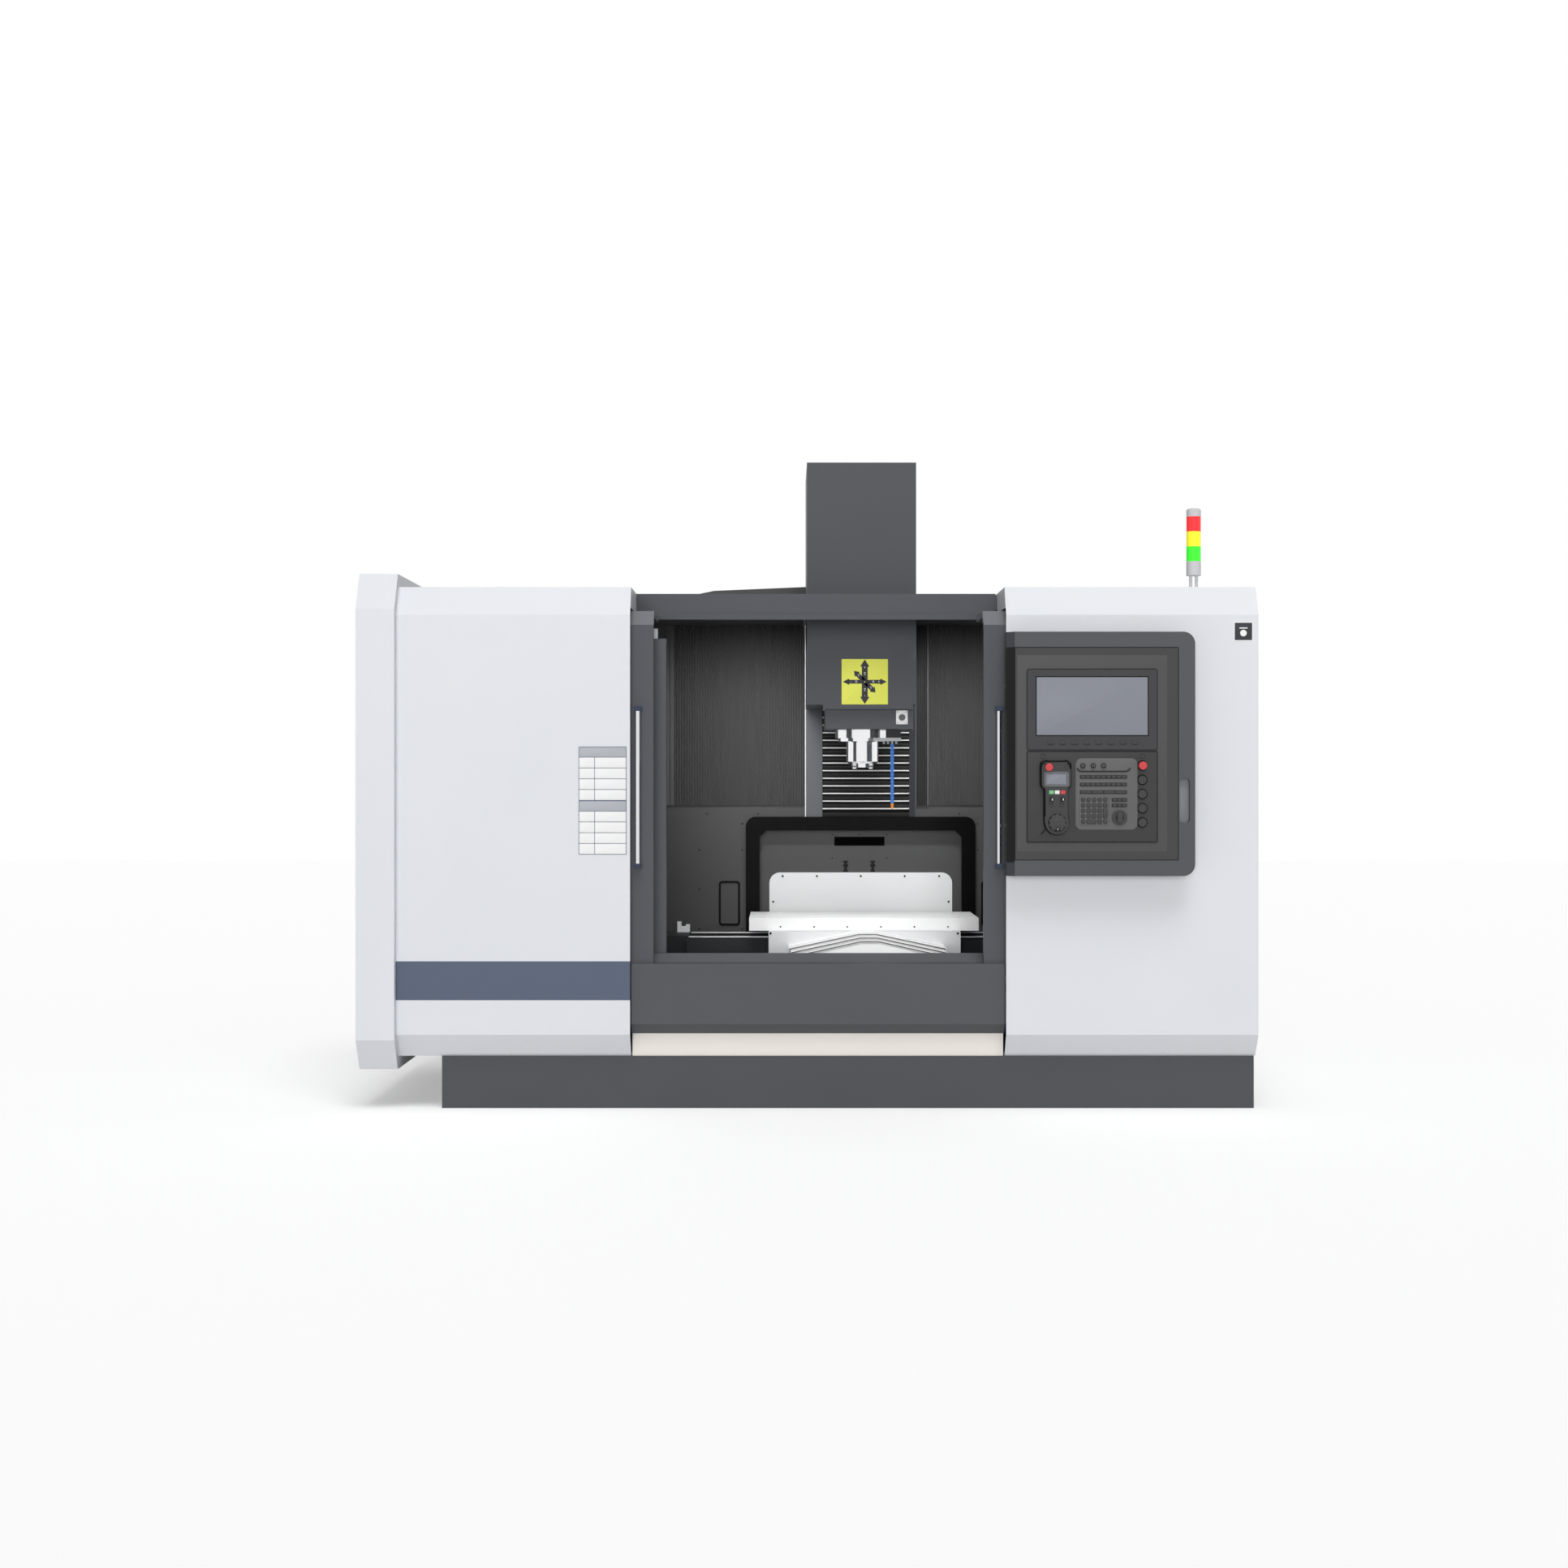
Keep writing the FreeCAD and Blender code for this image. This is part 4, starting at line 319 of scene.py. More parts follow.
# rail steel with its upright faces painted dark as painted shade
dress(groundSteel("groundRailSteel", "#eeeff0", "#e2e3e5", 0.22, (0.1, 0.1, 14), "#2a2b2e", 0.4),
      "guide_rails", "x_rails")
dress(groundSteel("turnedDrumSteel", "#a9abae", "#9a9c9f", 0.35, (14, 1, 1)), "tool_drum")
lipSteel = groundSteel("lipSteel", "#fcfcfc", "#f4f4f4", 0.3, (1, 1, 14), None, 0.2)
blackSteel = groundSteel("blackenedScrewSteel", "#2a2a2c", "#343436", 0.4, (1, 1, 1))
dress(polishedChrome("spindleChrome", "#f6f6f8", "#eeeef0", 0.09, 0.9), "spindle_cartridge", "spindle_nose")
dress(polishedChrome("handleChrome", "#dfe1e5", "#d5d7db", 0.1, 1.0, ("#1f2c48", "#1c2842"), handleTube),
      "left_door_handle", "right_door_handle")
blackBezel = dress(nitrileRubber("blackNitrileRubber", "#0d0d0d", "#141414", 0.22), "arch_bezel")
# near black for the vent's backing and slats: painted shade inside the slot
slotShadeBlack = nitrileRubber("slotShadeMattBlack", "#050505", "#070707", 0.8)
bellowsCloth = dress(coatedCloth("bellowsCloth", "#101010", "#171717"), "z_bellows")
seamCloth = coatedCloth("bellowsSeamCloth", "#2b2b2b", "#343434")
dress(mouldedPlastic("screenFramePlastic", "#404042", "#3c3c3e", 0.4), "screen_unit")
keypadPlastic = dress(mouldedPlastic("keypadPlastic", "#3e3e3f", "#3a3a3b", 0.5), "keypad")
fieldPlastic = mouldedPlastic("keyFieldPlastic", "#656565", "#616161", 0.5)
groovePlastic = mouldedPlastic("keyGroovePlastic", "#252526", "#212122", 0.5, 4)
# key sides near black under lighter tops: painted shade that outlines each key
keyPlastic = mouldedPlastic("keyPlastic", "#1d1d1e", "#1a1a1b", 0.45, 4, [("#434344", {"y": keyTopsOverShadedSides})])
pendantFields = [(keyColor, {"x": x, "y": pendantFace, "z": pendantKeyHeight})
                 for keyColor, x in pendantKeys.items()] + [("#1d1d1e", {"y": pendantKnobs})]
dress(mouldedPlastic("pendantPlastic", "#404041", "#3c3c3d", 0.4, 6, pendantFields), "pendant")
# grey of the grip plate: painted shade in the grip hole
gripHoleShade = mouldedPlastic("gripHoleShade", "#84868a", "#7e8084", 0.5)
rimPlastic = mouldedPlastic("displayRimPlastic", "#696b6c", "#646567", 0.4)
wheelPlastic = mouldedPlastic("wheelPlastic", "#434344", "#3e3e3f", 0.45, 4)
dress(mouldedPlastic("anodisedManifold", "#1c1d1f", "#232427", 0.3, 6, [("#a4a6a8", {"z": jetPlate})]),
      "coolant_manifold")
dress(mouldedPlastic("acetalHose", "#3a80d6", "#3474c8", 0.3, 4, [("#f2913a", {"z": hoseTip})], 0.4),
      "coolant_hose")
dress(mouldedPlastic("stopRedPlastic", "#d04042", "#c63a3c", 0.3, 4, (), 0.5), "emergency_stop",
      "pendant_stop")
dress(mouldedPlastic("buttonPlastic", "#404041", "#3b3b3c", 0.35, 4), "push_button_1", "push_button_2",
      "push_button_3", "push_button_4")
dialPlastic = dress(mouldedPlastic("dialPlastic", "#1c1d1f", "#181818", 0.4, 4), "override_dial",
                    "handwheel")
dress(mouldedPlastic("lampPlastic", "#cfcfd1", "#c6c6c8", 0.4), "lamp_body")
lampLens = mouldedPlastic("lampLensPlastic", "#565858", "#4e5050", 0.15, 8, (), 0.8)
screenGlass = mouldedPlastic("displayGlass", "#828690", "#7e828c", 0.18, 30, (), 0.6)
dress(ribbedLens("greenLens", "#41fd32", "#2fe022"), "lamp_green")
dress(ribbedLens("yellowLens", "#fdf332", "#eedc1c"), "lamp_yellow")
dress(ribbedLens("redLens", "#fb3234", "#e22226"), "lamp_red")
dress(laminatedGlass("laminatedGlass", "#e4eeee", "#dfe9ea"), "left_window", "right_window")
print("materials ready")


# ---- shaping helpers

def around(middle, half):
    return middle - half, middle + half


def leaveEdit():
    bpy.ops.object.mode_set(mode="OBJECT")


def clearSelection():
    if bpy.context.object:
        leaveEdit()
    bpy.ops.object.select_all(action="DESELECT")


def selectOnly(obj):
    clearSelection()
    obj.select_set(True)
    bpy.context.view_layer.objects.active = obj


def editAll():
    bpy.ops.object.mode_set(mode="EDIT")
    bpy.ops.mesh.select_all(action="SELECT")


def started(name, mat):
    # the form just added, with its place applied, its name and its material
    bpy.ops.object.transform_apply(location=True, rotation=True, scale=True)
    obj = bpy.context.object
    obj.name = name
    obj.data.materials.append(mat)
    return obj


def startBlock(name, x, depth, z, mat):
    clearSelection()
    low = inScene(x[0], depth[0], z[0])
    high = inScene(x[1], depth[1], z[1])
    bpy.ops.mesh.primitive_cube_add(size=1, location=(low + high) / 2, scale=high - low)
    return started(name, mat)


def startDisc(name, x, z, depth, radius, mat, sides=32):
    # a disc that faces the operator
    clearSelection()
    bpy.ops.mesh.primitive_cylinder_add(vertices=sides, radius=radius / 1000,
                                        depth=(depth[1] - depth[0]) / 1000,
                                        location=inScene(x, sum(depth) / 2, z),
                                        rotation=(math.pi / 2, 0, 0))
    return started(name, mat)


def startPicking(obj, kind):
    bpy.context.view_layer.objects.active = obj
    bpy.ops.object.mode_set(mode="EDIT")
    bpy.ops.mesh.select_mode(type=kind)
    bpy.ops.mesh.select_all(action="DESELECT")
    return bmesh.from_edit_mesh(obj.data)


def pickFaces(obj, test):
    for face in startPicking(obj, "FACE").faces:
        if test(face.calc_center_median(), face.normal):
            face.select_set(True)
    bmesh.update_edit_mesh(obj.data)


def pickEdges(obj, test):
    for edge in startPicking(obj, "EDGE").edges:
        a, b = edge.verts[0].co, edge.verts[1].co
        if test((a + b) / 2, (b - a).normalized()):
            edge.select_set(True)
    bmesh.update_edit_mesh(obj.data)


def facesFront(place, normal):
    return normal.y < -0.9


def facesFrontOrBack(place, normal):
    return abs(normal.y) > 0.9


def runsBack(place, along):
    return abs(along.y) > 0.9


def edgesAlong(axis, before=math.inf):
    # a test for the edges along an axis that lie in front of a depth
    return lambda place, along: abs(along["xyz".index(axis)]) > 0.9 and place.y < inScene(0, before, 0).y


def insetBy(width, depth=0.0):
    bpy.ops.mesh.inset(thickness=width / 1000, depth=depth / 1000)


def pullFront(rise):
    bpy.ops.transform.translate(value=(0, -rise / 1000, 0))


def bevelPicked(size, segments=3):
    bpy.ops.mesh.bevel(offset=size / 1000, segments=segments, affect="EDGES")


def roundEdges(obj, test, size, segments=3):
    pickEdges(obj, test)
    bevelPicked(size, segments)
    leaveEdit()


def softenFront(obj, rim, rise):
    # the front face drawn in and a little forward
    pickFaces(obj, facesFront)
    insetBy(rim)
    pullFront(rise)


def finishShape(angle=35):
    leaveEdit()
    bpy.ops.object.shade_smooth_by_angle(angle=math.radians(angle))


def copiesAt(obj, moves):
    # copies of the piece, each moved by one (x, depth, z) and with its own mesh
    made = []
    for move in moves:
        selectOnly(obj)
        bpy.ops.object.duplicate(linked=False)
        bpy.ops.transform.translate(value=Vector(move) / 1000)
        bpy.ops.object.transform_apply(location=True, rotation=True, scale=True)
        made.append(bpy.context.object)
    return made


def rowOf(obj, step, count):
    # the piece and its copies, each one step further on
    return [obj] + copiesAt(obj, [[i * part for part in step] for i in range(1, count)])


def joinAll(name, pieces):
    clearSelection()
    for piece in pieces:
        piece.select_set(True)
    bpy.context.view_layer.objects.active = pieces[0]
    if len(pieces) > 1:
        bpy.ops.object.join()
    whole = bpy.context.object
    whole.name = name
    return whole


def startRounded(name, x, depth, z, mat, corner):
    plate = startBlock(name, x, depth, z, mat)
    pickEdges(plate, runsBack)
    bevelPicked(corner, 6)
    return plate


def roundedPlate(name, x, depth, z, mat, corner, rim=0.4):
    # a plate with round corners and a softened front edge
    plate = startRounded(name, x, depth, z, mat, corner)
    softenFront(plate, rim, rim / 2)
    finishShape()
    return plate


def hollowOut(obj, width):
    # front and back inset and bridged, which leaves a ring of that width
    pickFaces(obj, facesFrontOrBack)
    insetBy(width)
    bpy.ops.mesh.bridge_edge_loops()


def roundedFrame(name, x, depth, z, mat, corner, width):
    plate = startRounded(name, x, depth, z, mat, corner)
    hollowOut(plate, width)
    finishShape()
    return plate


def softDisc(name, x, z, depth, radius, mat, sides, rim, rise):
    disc = startDisc(name, x, z, depth, radius, mat, sides)
    softenFront(disc, rim, rise)
    finishShape()
    return disc


def turnPiece(obj, angle, x, z):
    # turned about the line that runs back through x and z
    selectOnly(obj)
    editAll()
    bpy.ops.transform.rotate(value=math.radians(angle), orient_axis="Y",
                             center_override=inScene(x, 0, z))
    leaveEdit()


def barAlong(name, points, width, depth, mat):
    # one bar bent along a line of points: a short block whose end is drawn from point to point
    # and turned at each by half the bend, with its two ends rounded
    stub, rounding, reach = 0.2, 0.42, 0.55   # mm of the first block, then shares of the width
    headings = [math.atan2(b[0] - a[0], b[1] - a[1]) for a, b in zip(points, points[1:])]
    x, z = points[0]
    bar = startBlock(name, around(x, width / 2), depth, (z - stub, z), mat)
    turnPiece(bar, -math.degrees(headings[0]), x, z)
    ahead = Vector((math.sin(headings[0]), 0, math.cos(headings[0])))
    pickFaces(bar, lambda place, normal: normal.dot(ahead) > 0.9)
    turned, spread = headings[0], 1.0
    for i in range(1, len(points)):
        (fromX, fromZ), (x, z) = points[i - 1], points[i]
        step = ((x - fromX) / 1000, 0, (z - fromZ) / 1000)
        if i == 1:
            bpy.ops.transform.translate(value=step)
        else:
            bpy.ops.mesh.extrude_region_move(TRANSFORM_OT_translate={"value": step})
        following = headings[min(i, len(headings) - 1)]
        mitre = (headings[i - 1] + following) / 2
        bpy.ops.transform.rotate(value=turned - mitre, orient_axis="Y", center_override=inScene(x, 0, z))
        wider = 1 / math.cos((following - headings[i - 1]) / 2)
        bpy.ops.transform.resize(value=(wider / spread, 1, wider / spread))
        turned, spread = mitre, wider
    ends = [inScene(x, 0, z) for x, z in (points[0], points[-1])]

    def atEnd(place, along):
        near = min(math.hypot(place.x - end.x, place.z - end.z) for end in ends)
        return runsBack(place, along) and near < width * reach / 1000

    pickEdges(bar, atEnd)
    bevelPicked(width * rounding, 4)
    softenFront(bar, rim=0.4, rise=0.2)
    finishShape()
    return bar


# ---- way bellows

def foldedBellows():
    size = {"x": (80.0, 471.0), "crest": 1388.0, "fold": 16.0, "foot": 1138.0, "collar": 19.5,
            "pitch": 34.3, "count": 18, "top": 1779.7, "cloth": 2.0, "merged": 0.1, "crestRound": 1.2,
            "lipX": (80.5, 470.5), "lipHalf": 2.6, "lipDepth": (1387.4, 1392.4), "lipRound": 1.2,
            "lipHollow": (0.8, -3.0), "seamX": (81.0, 470.0), "seamHalf": 3.5, "seamFront": 3.0,
            "seamBack": 1.0, "seamRound": 2.4, "collarFront": 2.0, "collarBack": 3.0, "collarRound": 0.8}
    left, right = size["x"]
    width = right - left
    count, pitch = size["count"], size["pitch"]
    crest, root = size["crest"], size["crest"] + size["fold"]
    first = size["foot"] + size["collar"]
    half = pitch / 2

    # one fold: a strip that leans forward to the crest, drawn back to the root
    clearSelection()
    bpy.ops.mesh.primitive_plane_add(size=width / 1000, rotation=(math.pi / 2, 0, 0),
                                     location=inScene((left + right) / 2, root, first + half / 2))
    bpy.ops.transform.resize(value=(1, 1, half / width))
    fold = started("fold", bellowsCloth)
    pickEdges(fold, lambda place, along: place.z > (first + half - 1) / 1000)
    pullFront(size["fold"])
    bpy.ops.mesh.extrude_region_move(
        TRANSFORM_OT_translate={"value": (0, size["fold"] / 1000, half / 1000)})
    roundEdges(fold, edgesAlong("x", root - 1), size["crestRound"])

    lip = startBlock("lip", size["lipX"], size["lipDepth"], around(first + half, size["lipHalf"]), lipSteel)
    roundEdges(lip, edgesAlong("x", crest), size["lipRound"])
    pickFaces(lip, lambda place, normal: normal.y > 0.9)
    insetBy(*size["lipHollow"])
    leaveEdit()

    seam = startBlock("seam", size["seamX"], (root - size["seamFront"], root + size["seamBack"]),
                      around(first + pitch, size["seamHalf"]), seamCloth)
    roundEdges(seam, edgesAlong("x", root), size["seamRound"], 4)

    folds, lips, seams = [rowOf(part, (0, 0, pitch), count) for part in (fold, lip, seam)]
    collarDepth = (root - size["collarFront"], root + size["collarBack"])
    collars = [startBlock("collar", size["x"], collarDepth, z, bellowsCloth)
               for z in ((size["foot"], first), (first + count * pitch, size["top"]))]
    for collar in collars:
        roundEdges(collar, edgesAlong("x"), size["collarRound"], 2)
    cloth = joinAll("bellowsCloth", folds)
    editAll()
    bpy.ops.mesh.remove_doubles(threshold=size["merged"] / 1000)
    bpy.ops.mesh.normals_make_consistent(inside=False)
    leaveEdit()
    wall = cloth.modifiers.new("wall", "SOLIDIFY")
    wall.thickness = size["cloth"] / 1000
    bpy.ops.object.modifier_apply(modifier=wall.name)
    bellows = joinAll("wayBellows", [cloth] + lips + seams + collars)
    finishShape(50)
    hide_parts("z_bellows")
    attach(bellows, "frame")
    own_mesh(bellows)


foldedBellows()
print("bellows folded")


# ---- screws

def socketScrew(radius, rise, depth, x, z):
    # cap screw with a bevelled rim and a round socket, standing proud of the plane at depth
    share = {"rim": 0.12, "crown": 0.15, "socketRim": 0.36, "socketDepth": 0.5}   # of radius or rise
    screw = startDisc("screw", x, z, (depth - rise, depth), radius, blackSteel, 24)
    softenFront(screw, radius * share["rim"], rise * share["crown"])
    insetBy(radius * share["socketRim"], -rise * share["socketDepth"])
    finishShape()
    return screw


def screwsAt(radius, rise, depth, places):
    firstX, firstZ = places[0]
    screw = socketScrew(radius, rise, depth, firstX, firstZ)
    return [screw] + copiesAt(screw, [(x - firstX, 0, z - firstZ) for x, z in places[1:]])


# body, slot, radius, rise, depth of the plane, and the places on it as x and z
screwSets = {
    "wallScrews": ("frame", "black_rubber", 3.4, 2, 1425,
                   [(-443, 1150), (-212, 1150), (-283, 1106), (-477, 988), (-283, 988), (-477, 810),
                    (-477, 630), (-283, 630), (700, 1150), (783, 1106), (783, 988)]),
    "archScrews": ("frame", "black_rubber", 3.0, 2, 1440,
                   [(124.2, 1056.7), (247.1, 1056.7), (371.5, 1056.7), (124.2, 951.1), (371.5, 951.1)]),
    "guardScrews": ("frame", "black_rubber", 4.5, 3, 1436,
                    [(-100, 868.5), (55, 868.5), (254, 868.5), (453, 868.5), (609, 868.5),
                     (-143, 752.6), (652, 752.6)]),
    "tableScrews": ("work_table", "rail_steel", 3.5, 1.5, 750,
                    [(x, 678.8) for x in (-109, 34, 175, 318, 460, 603)]),
    "apronScrews": ("saddle", "black_rubber", 5.0, 3, 700, [(-151, 654), (641, 654)]),
}
for name, (body, slot, radius, rise, depth, places) in screwSets.items():
    whole = joinAll(name, screwsAt(radius, rise, depth, places))
    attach(whole, body)
print("screws set")


# ---- chamber wall fittings

def accessSeals():
    size = {"x": (-389.0, -293.0), "depth": (1420.0, 1425.0), "z": (645.0, 847.0), "step": 1188.0,
            "width": 9.0, "corner": 16.0}
    seal = roundedFrame("accessSeal", size["x"], size["depth"], size["z"], blackBezel, size["corner"],
                        size["width"])
    seals = joinAll("accessSeals", rowOf(seal, (size["step"], 0, 0), 2))
    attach(seals, "frame")


accessSeals()


def archVent():
    # a shallow frame with slats in it, closed behind by a near-black backing: painted shade for the dark
    # inside of the slot
    size = {"wall": 1440.0, "x": (134.0, 362.0), "z": (1006.0, 1047.0), "rise": 2.0, "rim": 3.0,
            "backing": ((136.0, 360.0), (1439.5, 1440.0), (1008.0, 1045.0)), "louvres": 4, "pitch": 8.75,
            "slat": ((137.0, 359.0), (1438.2, 1439.6), (1010.0, 1012.5)), "slatRound": 0.6,
            "sunk": (1.0, -0.2)}
    rim = roundedFrame("slotRim", size["x"], (size["wall"] - size["rise"], size["wall"]), size["z"],
                       blackBezel, size["rim"], size["rim"])
    backing = startBlock("slotShadeBacking", *size["backing"], slotShadeBlack)
    pickFaces(backing, facesFront)
    insetBy(*size["sunk"])
    leaveEdit()
    slat = startBlock("slat", *size["slat"], slotShadeBlack)
    roundEdges(slat, edgesAlong("x", size["wall"] - 1), size["slatRound"], 2)
    vent = joinAll("archVent", [rim, backing] + rowOf(slat, (0, 0, size["pitch"]), size["louvres"]))
    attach(vent, "frame")


archVent()


def guardTrim():
    # bright edge strip of the column guard
    size = {"x": (0.5, 5.5), "depth": (1396.0, 1400.0), "z": (1138.5, 2002.0), "edge": 1.0}
    trim = startBlock("columnGuardTrim", size["x"], size["depth"], size["z"], lipSteel)
    roundEdges(trim, edgesAlong("z"), size["edge"])
    finishShape()
    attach(trim, "frame")


guardTrim()


def columnChannel():
    # ribbed channel beside the right guard, with the grey edge next to it; its floor is painted darker than
    # its ribs, as painted shade between them
    size = {"x": (500.5, 553.5), "z": (1189.0, 2000.0), "back": 1413.0, "floor": 1411.0, "rib": 1408.0,
            "ribX": (503.5, 507.7), "pitch": 10.2, "ribRound": 1.2, "ribs": 5, "edgeX": (553.5, 560.0),
            "edge": 1406.0, "corner": 1.0}
    floor = roundedPlate("channelFloor", size["x"], (size["floor"], size["back"]), size["z"], channelFloorShadeCoat,
                         size["corner"])
    rib = startBlock("channelRib", size["ribX"], (size["rib"], size["floor"]), size["z"], ribCoat)
    roundEdges(rib, edgesAlong("z", size["rib"] + 1), size["ribRound"], 2)
    finishShape()
    ribs = rowOf(rib, (size["pitch"], 0, 0), size["ribs"])
    edge = roundedPlate("channelEdge", size["edgeX"], (size["edge"], size["back"]), size["z"], rimPlastic,
                        size["corner"])
    whole = joinAll("columnChannel", [floor, edge] + ribs)
    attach(whole, "frame")


columnChannel()


def railHighlightStrips():
    # near-white strips along the front of both table rails: a painted highlight along their edges
    size = {"x": (-503.0, 995.0), "z": (628.6, 632.8), "fronts": (836.0, 1136.0), "thick": 0.6,
            "corner": 0.6, "rim": 0.2}
    strips = [roundedPlate("railHighlightStrip", size["x"], (front - size["thick"], front), size["z"], lipSteel,
                           size["corner"], size["rim"]) for front in size["fronts"]]
    whole = joinAll("railHighlightStrips", strips)
    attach(whole, "saddle")


railHighlightStrips()
print("chamber fitted")


# ---- plates on the head

def axisArrow(middle, depth, shaft, head, start, neck, tip):
    # an arrow that points up from the middle: a shaft with its end drawn into a head
    shoulder, point = 0.2, 0.03   # mm of the step out to the head, and how far its end narrows
    x, z = middle
    piece = startBlock("axisArrow", around(x, shaft / 2), depth, (z + start, z + neck), signDark)
    pickFaces(piece, lambda place, normal: normal.z > 0.9)
    bpy.ops.mesh.extrude_region_move(TRANSFORM_OT_translate={"value": (0, 0, shoulder / 1000)})
    bpy.ops.transform.resize(value=(head / shaft, 1, 1))
    bpy.ops.mesh.extrude_region_move(TRANSFORM_OT_translate={"value": (0, 0, (tip - neck) / 1000)})
    bpy.ops.transform.resize(value=(point, 1, 1))
    leaveEdit()
    return piece


def letterAt(text, height, x, depth, z):
    # what the text mesh has twice is merged, which closes the letter
    thick, merged = 0.3, 0.01
    clearSelection()
    bpy.ops.object.text_add()
    words = bpy.context.object.data
    words.body = text
    words.size = height / 1000
    words.align_x = words.align_y = "CENTER"
    words.extrude = thick / 2000
    bpy.ops.object.convert(target="MESH")
    editAll()
    bpy.ops.mesh.remove_doubles(threshold=merged / 1000)
    bpy.ops.mesh.dissolve_degenerate(threshold=merged / 1000)
    leaveEdit()
    letter = bpy.context.object
    letter.data.materials.clear()
    letter.rotation_euler = (math.pi / 2, 0, 0)
    letter.location = inScene(x, depth, z)
    return started("letter", signWhite)


def axisPlate():
    size = {"x": (149.8, 345.5), "z": (1622.5, 1814.7), "depth": 700.0, "thick": 1.2, "corner": 2.0,
            "rim": 0.3, "middle": (247.6, 1718.6), "mark": 0.7, "letterRise": 0.9, "letter": 15,
            # shaft width, head width, start, neck and tip, counted from the middle
            "upright": (25, 39, 2, 64, 93), "level": (16, 27, 2, 66, 92), "slanted": (18, 30, 4, 44, 64)}
    face = size["depth"] - size["thick"]
    pieces = [roundedPlate("axisPlate", size["x"], (face, size["depth"]), size["z"], signYellow,
                           size["corner"], size["rim"])]
    for angle, kind in ((0, "upright"), (180, "upright"), (90, "level"), (-90, "level"), (45, "slanted"),
                        (-135, "slanted")):
        piece = axisArrow(size["middle"], (face - size["mark"], face), *size[kind])
        turnPiece(piece, angle, *size["middle"])
        pieces.append(piece)
    x, z = size["middle"]
    for text, dx, dz in (("Z", 0, 34), ("+", 0, 60), ("Z", 0, -34), ("-", 0, -58), ("X", 36, 0),
                         ("+", 60, 0), ("X", -36, 0), ("-", -58, 0), ("Y", -26, 26), ("Y", 26, -26)):
        pieces.append(letterAt(text, size["letter"], x + dx, face - size["letterRise"], z + dz))
    whole = joinAll("axisPlate", pieces)
    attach(whole, "head")


axisPlate()


def noseLamp():
    size = {"x": (380.7, 430.3), "z": (1539.2, 1597.7), "depth": 720.0, "thick": 3.0,
            "corner": 3.0, "rim": 0.6, "lens": (405.8, 1568.4), "radius": 13.8, "lensRise": 3.5,
            "lensRim": 2.2, "lensSunk": (0.8, -1.5), "screwInset": 6.0, "screwRadius": 2.0,
            "screwRise": 1.0}
    face = size["depth"] - size["thick"]
    plate = roundedPlate("lampPlate", size["x"], (face, size["depth"]), size["z"], signWhite,
                         size["corner"], size["rim"])
    lens = startDisc("lampLens", *size["lens"], (face - size["lensRise"], face), size["radius"], lampLens, 40)
    pickFaces(lens, facesFront)
    insetBy(size["lensRim"])
    insetBy(*size["lensSunk"])
    finishShape()
    inset = size["screwInset"]
    corners = [(x, z) for x in (size["x"][0] + inset, size["x"][1] - inset)
               for z in (size["z"][0] + inset, size["z"][1] - inset)]
    screws = screwsAt(size["screwRadius"], size["screwRise"], face, corners)
    whole = joinAll("noseLamp", [plate, lens] + screws)
    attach(whole, "head")


noseLamp()
print("head plates fitted")


# ---- plates on the covers

def infoPlate():
    # two blocks, each with a header over four ruled rows
    size = {"x": (-903.6, -714.8), "z": (1007.6, 1433.2), "thick": 1.0, "raised": 0.3, "rule": 2.4,
            "header": 38.0, "icon": 62.0, "rows": 4, "corner": 3.0, "rim": 0.3, "fieldEdge": (0.6, 0.15)}
    pieces = [roundedPlate("infoPlate", size["x"], (-size["thick"], 0), size["z"], signSlate,
                           size["corner"], size["rim"])]
    low, high = size["z"]
    left, right = size["x"]
    rule, header = size["rule"], size["header"]
    depth = (-size["thick"] - size["raised"], -size["thick"])
    half = (high - low) / 2
    rowHeight = (half - header - rule * (size["rows"] + 2)) / size["rows"]
    split = left + size["icon"]
    for top in (high, high - half):
        pieces.append(roundedPlate("header", (left + rule, right - rule), depth,
                                   (top - rule - header, top - rule), signGrey, *size["fieldEdge"]))
        for row in range(size["rows"]):
            rowTop = top - rule * 2 - header - row * (rowHeight + rule)
            for x in ((left + rule, split), (split + rule, right - rule)):
                pieces.append(roundedPlate("field", x, depth, (rowTop - rowHeight, rowTop), signWhite,
                                           *size["fieldEdge"]))
    whole = joinAll("infoPlate", pieces)
    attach(whole, "frame")


infoPlate()


def cornerPlate():
    size = {"x": (1678.8, 1755.6), "z": (1849.2, 1926.0), "border": 4.0, "middle": 1717.2,
            "barHalf": 16.0, "barZ": (1899.0, 1903.0), "disc": (1881.0, 13.0),
            "plate": (-1.0, 0), "field": (-1.4, -1.0), "mark": (-1.7, -1.4), "discRaised": (0.4, 0.1)}
    (left, right), (low, high), border = size["x"], size["z"], size["border"]
    middle = size["middle"]
    discZ, radius = size["disc"]
    back = roundedPlate("cornerPlate", size["x"], size["plate"], size["z"], signWhite, corner=2.0, rim=0.3)
    inner = roundedPlate("cornerField", (left + border, right - border), size["field"],
                         (low + border, high - border), signDark, corner=1.0, rim=0.2)
    bar = roundedPlate("cornerBar", around(middle, size["barHalf"]), size["mark"], size["barZ"], signWhite,
                       corner=1.5, rim=0.1)
    disc = startDisc("cornerDisc", middle, discZ, size["mark"], radius, signWhite, 24)
    pickFaces(disc, facesFront)
    insetBy(*size["discRaised"])
    finishShape()
    whole = joinAll("cornerPlate", [back, inner, bar, disc])
    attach(whole, "frame")


cornerPlate()
print("cover plates fitted")


# ---- operator panel details

nearlyRound = 0.98   # a corner of that share of the half width makes a plate round


def roundRing(name, x, z, depth, radius, mat, width):
    return roundedFrame(name, around(x, radius), depth, around(z, radius), mat, radius * nearlyRound, width)


